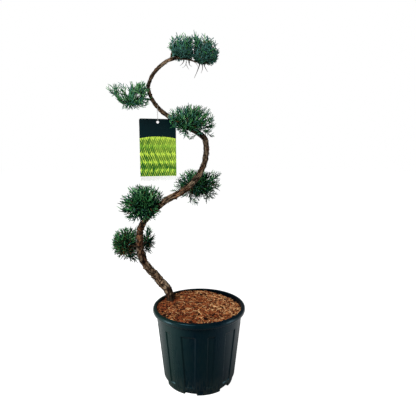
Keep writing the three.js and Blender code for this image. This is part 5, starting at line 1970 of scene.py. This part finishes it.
@dataclass
class BareTwigs:
    """Thin bare twigs that hang under the masses and stand out of them."""

    routes: tuple[tuple[Triple, Triple, Triple, float], ...] = (
        ((-38.7, -82, 1029), (-42.5, -88, 1019), (-50.2, -90, 1013.8), 1.0),
        ((-32.4, -80, 1028), (-31.8, -84, 1014), (-43.3, -86, 1009.4), 0.9),
        ((-32.0, -83, 1018.5), (-29.6, -85, 1012), (-24.4, -88, 1003.8), 0.7),
        ((-25.6, -82, 1029), (-24.0, -92, 1012), (-15.7, -96, 1011.2), 1.0),
        ((-9.0, -76, 1027), (-0.5, -71, 1023), (-0.5, -68, 1015.3), 0.8),
        ((7.5, -74, 1026), (1.0, -84, 1002), (-9.6, -88, 980.4), 1.3),
        ((12.3, -70, 1026), (17.5, -70, 1008), (9.0, -70, 997.6), 1.1),
        ((15.8, -72, 1026), (21.9, -80, 1009), (29.1, -86, 998.1), 1.1),
        ((16.0, -72, 1029), (32.6, -84, 1020), (41.4, -90, 1013.5), 1.6),
        ((46.0, -58, 1052), (60.0, -68, 1048), (63.8, -70, 1057.4), 1.3),
        ((-7.0, -74, 1084), (-7.6, -80, 1096), (-9.7, -82, 1102.6), 0.9),
        ((-6.0, -66, 1086), (-0.2, -68, 1100), (2.6, -66, 1107.5), 0.6),
        ((-72.0, -80, 1078), (-79.6, -86, 1073), (-84.7, -88, 1064.7), 0.9),
        ((30.0, -62, 1076), (38.1, -68, 1086), (41.5, -70, 1091.9), 0.7),
        ((-27, -22, 654), (-35, -26, 638), (-40, -26, 626), 1.0),
        ((-18, -22, 651), (-24, -26, 629), (-26, -26, 609), 1.0),
        ((-8, -22, 651), (-8, -26, 635), (-14, -26, 619), 1.2),
        ((5, -22, 654), (1, -26, 635), (5, -26, 622), 1.0),
        ((17, -22, 654), (25, -26, 635), (27, -26, 616), 0.9),
        ((30, -22, 657), (39, -26, 645), (46, -26, 629), 0.8),
        ((43, -22, 670), (52, -26, 662), (65, -26, 664), 1.3),
        ((46, -22, 692), (58, -26, 705), (68, -26, 702), 0.8),
        ((-210, 10, 460), (-219, 2, 457), (-231, -4, 446), 1.2),
        ((-210, 10, 470), (-215, 2, 465), (-224, -4, 467), 1.0),
        ((-207, 10, 443), (-216, 2, 441), (-228, -4, 433), 1.2),
        ((-207, 10, 449), (-219, 2, 448), (-234, -4, 457), 1.0),
        ((-211, 10, 432), (-219, 2, 428), (-222, -4, 416), 1.0),
        ((-209, 10, 480), (-215, 2, 475), (-226, -4, 487), 1.0),
    )
    thicken: float = 1.35

    def build(self) -> None:
        """Builds the twigs as one piece."""
        controls = np.array([route[:3] for route in self.routes], float)
        widths = np.array([route[3] * self.thicken for route in self.routes])
        order = tone_numbers(WoodTone, WoodTone.TWIG, WoodTone.DARK)
        skin = Skin()
        add_twigs(skin, controls, widths, order[np.arange(len(widths)) % 2], sides=6)
        mount(skin.piece("bare_twigs", tone_materials(WoodTone), 60), "foliage")


# The picture tag.


@dataclass
class PictureTag:
    """The tag: a card with a punched hole that hangs from a loop of thread on the stem."""

    stem: Stem
    width: float = 123.0
    height: float = 204.0
    thick: float = 0.8
    hole: float = 4.5
    hole_drop: float = 11.0
    yaw: float = 17.0
    station: float = 14.1
    drop: float = 50.0
    thread_radius: float = 0.6
    play: float = 0.7
    bow: Pair = (1.5, 1.1)
    room: Triple = (2.0, 12.0, 14.0)

    def __post_init__(self) -> None:
        """Works out where the tag hangs and which way it faces."""
        turn = math.radians(self.yaw)
        hung = self.stem.curve.point(np.array([self.station]))[0]
        self.eye = hung - UP * self.drop
        self.across = np.array([math.cos(turn), math.sin(turn), 0.0])
        self.back = np.array([-math.sin(turn), math.cos(turn), 0.0])

    def holds(self, points: Array, clearance: float) -> Array:
        """Whether points lie in the card or in the room round the thread."""
        local = points - self.eye
        side, depth, high = np.abs(local @ self.across), np.abs(local @ self.back), local[..., 2]
        top, bottom = self.hole_drop + clearance, self.hole_drop - self.height - clearance
        on_face = (side < self.width / 2 + clearance) & (high < top) & (high > bottom)
        card = on_face & (depth < clearance + self.thick)
        beside = (side < self.room[0] + clearance) & (depth < self.room[1] + clearance)
        return card | (beside & (high > 0) & (high < self.drop + self.room[2]))

    def loop(self) -> Array:
        """Points of the closed loop: over the stem's slanted section, down and through the hole."""
        place = np.array([self.station])
        tangent = self.stem.curve.tangent(place)[0]
        clear = self.stem.curve.radius(place)[0] + self.thread_radius + self.play
        slant = math.atan2(tangent[2], tangent @ self.back)
        stretch = 1 / abs(tangent @ self.across)
        angle = np.linspace(0, math.pi, 19) - slant
        long, short = clear * stretch * np.cos(angle), clear * np.sin(angle)
        depth = long * math.cos(slant) - short * math.sin(slant)
        rise = long * math.sin(slant) + short * math.cos(slant)
        over = np.stack([depth, rise + self.drop], axis=-1)
        low = self.hole - self.thread_radius - 3 * GAP
        turn, (wide, deep) = np.linspace(math.pi, 2 * math.pi, 9), self.bow
        under = np.stack([wide * np.cos(turn), low + deep + deep * np.sin(turn)], axis=-1)
        between = np.linspace(0, 1, 14)[1:-1, None]
        down, back_up = lerp(over[-1], under[0], between), lerp(under[-1], over[0], between)
        plane = np.vstack([over, down, under, back_up])
        return self.eye + plane[:, :1] * self.back + plane[:, 1:] * UP

    def build(self) -> None:
        """Dresses the card's node and lays the thread as two strands twisted round each other."""
        low = self.eye + UP * (self.hole_drop - self.height)
        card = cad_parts["label_card"]
        finish = PrintedCard("printed_card", yaw=self.yaw, centre=tuple(low * MM))
        card.data.materials.clear()
        card.data.materials.append(finish.material())
        skin = Skin()
        for phase in (0.0, math.pi):
            self._add_strand(skin, phase)
        mount(skin.piece("tag_thread", [YARN.material()], 60), "thread", "label_thread")

    def _add_strand(
        self, skin: Skin, phase: float, turns: int = 34, rows: int = 420, sides: int = 8
    ) -> None:
        """One strand: a ring of points carried along a helix round the loop, closed on itself.

        Args:
            skin: The skin that it is added to.
            phase: Angle of the helix at the loop's start.
            turns: Turns of the helix in the whole loop.
            rows: Rings along the loop.
            sides: Points to a ring.
        """
        corners = self.loop()
        closed = np.vstack([corners, corners[:1]])
        steps = np.linalg.norm(np.diff(closed, axis=0), axis=1)
        length = np.append(0, np.cumsum(steps))
        at = np.linspace(0, length[-1], rows, endpoint=False)
        centre = np.stack([np.interp(at, length, closed[:, axis]) for axis in range(3)], axis=-1)
        slope = unit(np.roll(centre, -1, axis=0) - np.roll(centre, 1, axis=0))
        outward = unit(np.cross(slope, self.across))
        twist = (np.arange(rows) / rows * turns * 2 * math.pi + phase)[:, None]
        strand = self.thread_radius * 0.5
        middle = centre + strand * 0.86 * circle(outward, self.across, twist)
        around = circle(outward[:, None], self.across, even_turns(sides)[:, None])
        ring = middle[:, None] + strand * around
        row, column = np.meshgrid(np.arange(rows), np.arange(sides), indexing="ij")
        here, there, after = row * sides, (row + 1) % rows * sides, (column + 1) % sides
        quads = np.stack([here + column, there + column, there + after, here + after], axis=-1)
        skin.add(ring.reshape(-1, 3), quads, np.empty((0, 3), int))


# The studio.


@dataclass(frozen=True)
class Lamp:
    """A soft lamp, so wide and so high, that faces the plant at a height."""

    name: str
    place: Triple
    size: Pair
    power: float
    aim: float = 0.55

    def build(self) -> None:
        """Places the lamp and turns it to face the plant."""
        data = bpy.data.lights.new(self.name, "AREA")
        data.shape, data.energy = "RECTANGLE", self.power
        data.size, data.size_y = self.size
        across, back, up = np.array([-0.05, 0.0, self.aim]) - np.array(self.place)
        pitch, turn = math.atan2(math.hypot(across, back), -up), math.atan2(back, across)
        add_to_stage(self.name, data, self.place, (pitch, 0.0, turn - math.pi / 2))


@dataclass
class Studio:
    """The plain pale floor, soft lamps, and the camera at the photograph's place."""

    floor_radius: float = 14.0
    floor_sides: int = 96
    sky_light: float = 0.17
    pitch: float = 8.77
    focal_pixels: float = 382.0
    picture_pixels: float = 416.0
    sensor: float = 36.0
    lamps: tuple[Lamp, ...] = (
        Lamp("key_lamp", (-1.2, -1.6, 2.3), (0.9, 0.9), 80.0),
        Lamp("right_lamp", (1.9, -0.45, 1.0), (0.16, 1.5), 12.0),
        Lamp("left_lamp", (-2.0, -0.35, 0.7), (0.16, 1.5), 12.0),
        Lamp("low_left_lamp", (-0.9, -0.35, 0.16), (0.2, 0.25), 6.0, 0.13),
        Lamp("low_right_lamp", (0.95, -0.3, 0.16), (0.2, 0.25), 3.5, 0.13),
    )

    def build(self) -> None:
        """Makes the floor, the sky, the lamps and the camera."""
        self._build_floor()
        self._build_sky()
        for lamp in self.lamps:
            lamp.build()
        self._build_camera()

    def _build_floor(self) -> None:
        """A wide disc: one point in the middle of a ring."""
        sides, count = self.floor_sides, np.arange(self.floor_sides)
        ring = lathe(np.ones(sides), even_turns(sides), np.zeros(sides)) * self.floor_radius / MM
        fan = np.stack([count, (count + 1) % sides, np.full(sides, sides)], axis=-1)
        skin = Skin()
        skin.add(np.vstack([ring, np.zeros(3)]), NO_FACES, fan)
        skin.piece("studio_floor", [StudioFloor("pale_floor").material()], None)

    def _build_sky(self) -> None:
        """A white backdrop, which lights the plant less than it shows."""
        world = bpy.data.worlds.new("studio_sky")
        world.use_nodes = True
        nodes, background = Nodes(world.node_tree), world.node_tree.nodes["Background"].inputs
        seen = nodes.add("ShaderNodeLightPath").outputs["Is Camera Ray"]
        strength = nodes.math("MULTIPLY_ADD", seen, 1.0 - self.sky_light, self.sky_light)
        nodes.give(background["Color"], WHITE)
        nodes.give(background["Strength"], strength)
        bpy.context.scene.world = world
        bpy.context.scene.view_settings.view_transform = "Standard"

    def _build_camera(self) -> None:
        """A level camera pitched down, whose lens gives the photograph's scale in pixels."""
        data = bpy.data.cameras.new("photo_camera")
        data.sensor_width = self.sensor
        data.lens = self.sensor * self.focal_pixels / self.picture_pixels
        place, turned = [v * MM for v in VIEWPOINT], (math.radians(90 - self.pitch), 0.0, 0.0)
        bpy.context.scene.camera = add_to_stage(data.name, data, place, turned)


def add_to_stage(
    name: str, data: bpy.types.ID, place: Sequence[float], turned: Sequence[float]
) -> bpy.types.Object:
    """Puts a lamp or the camera into the scene, at a place and turned by angles in radians."""
    thing = bpy.data.objects.new(name, data)
    thing.location, thing.rotation_euler = place, turned
    bpy.context.scene.collection.objects.link(thing)
    return thing


def main() -> None:
    """Builds the studio and the plant's pieces in order."""
    logging.basicConfig(level=logging.INFO, format="%(name)s: %(message)s")
    Studio().build()
    pot = NurseryPot()
    pot.build()
    MulchBed(pot).build()
    stem = Stem()
    stem.build()
    tag = PictureTag(stem)
    tag.build()
    around = Surroundings(stem, tag)
    for plan, bough in zip(MASSES, BOUGHS):
        FoliageMass(plan, bough, around).build()
    BareTwigs().build()


if __name__ == "__main__":
    main()
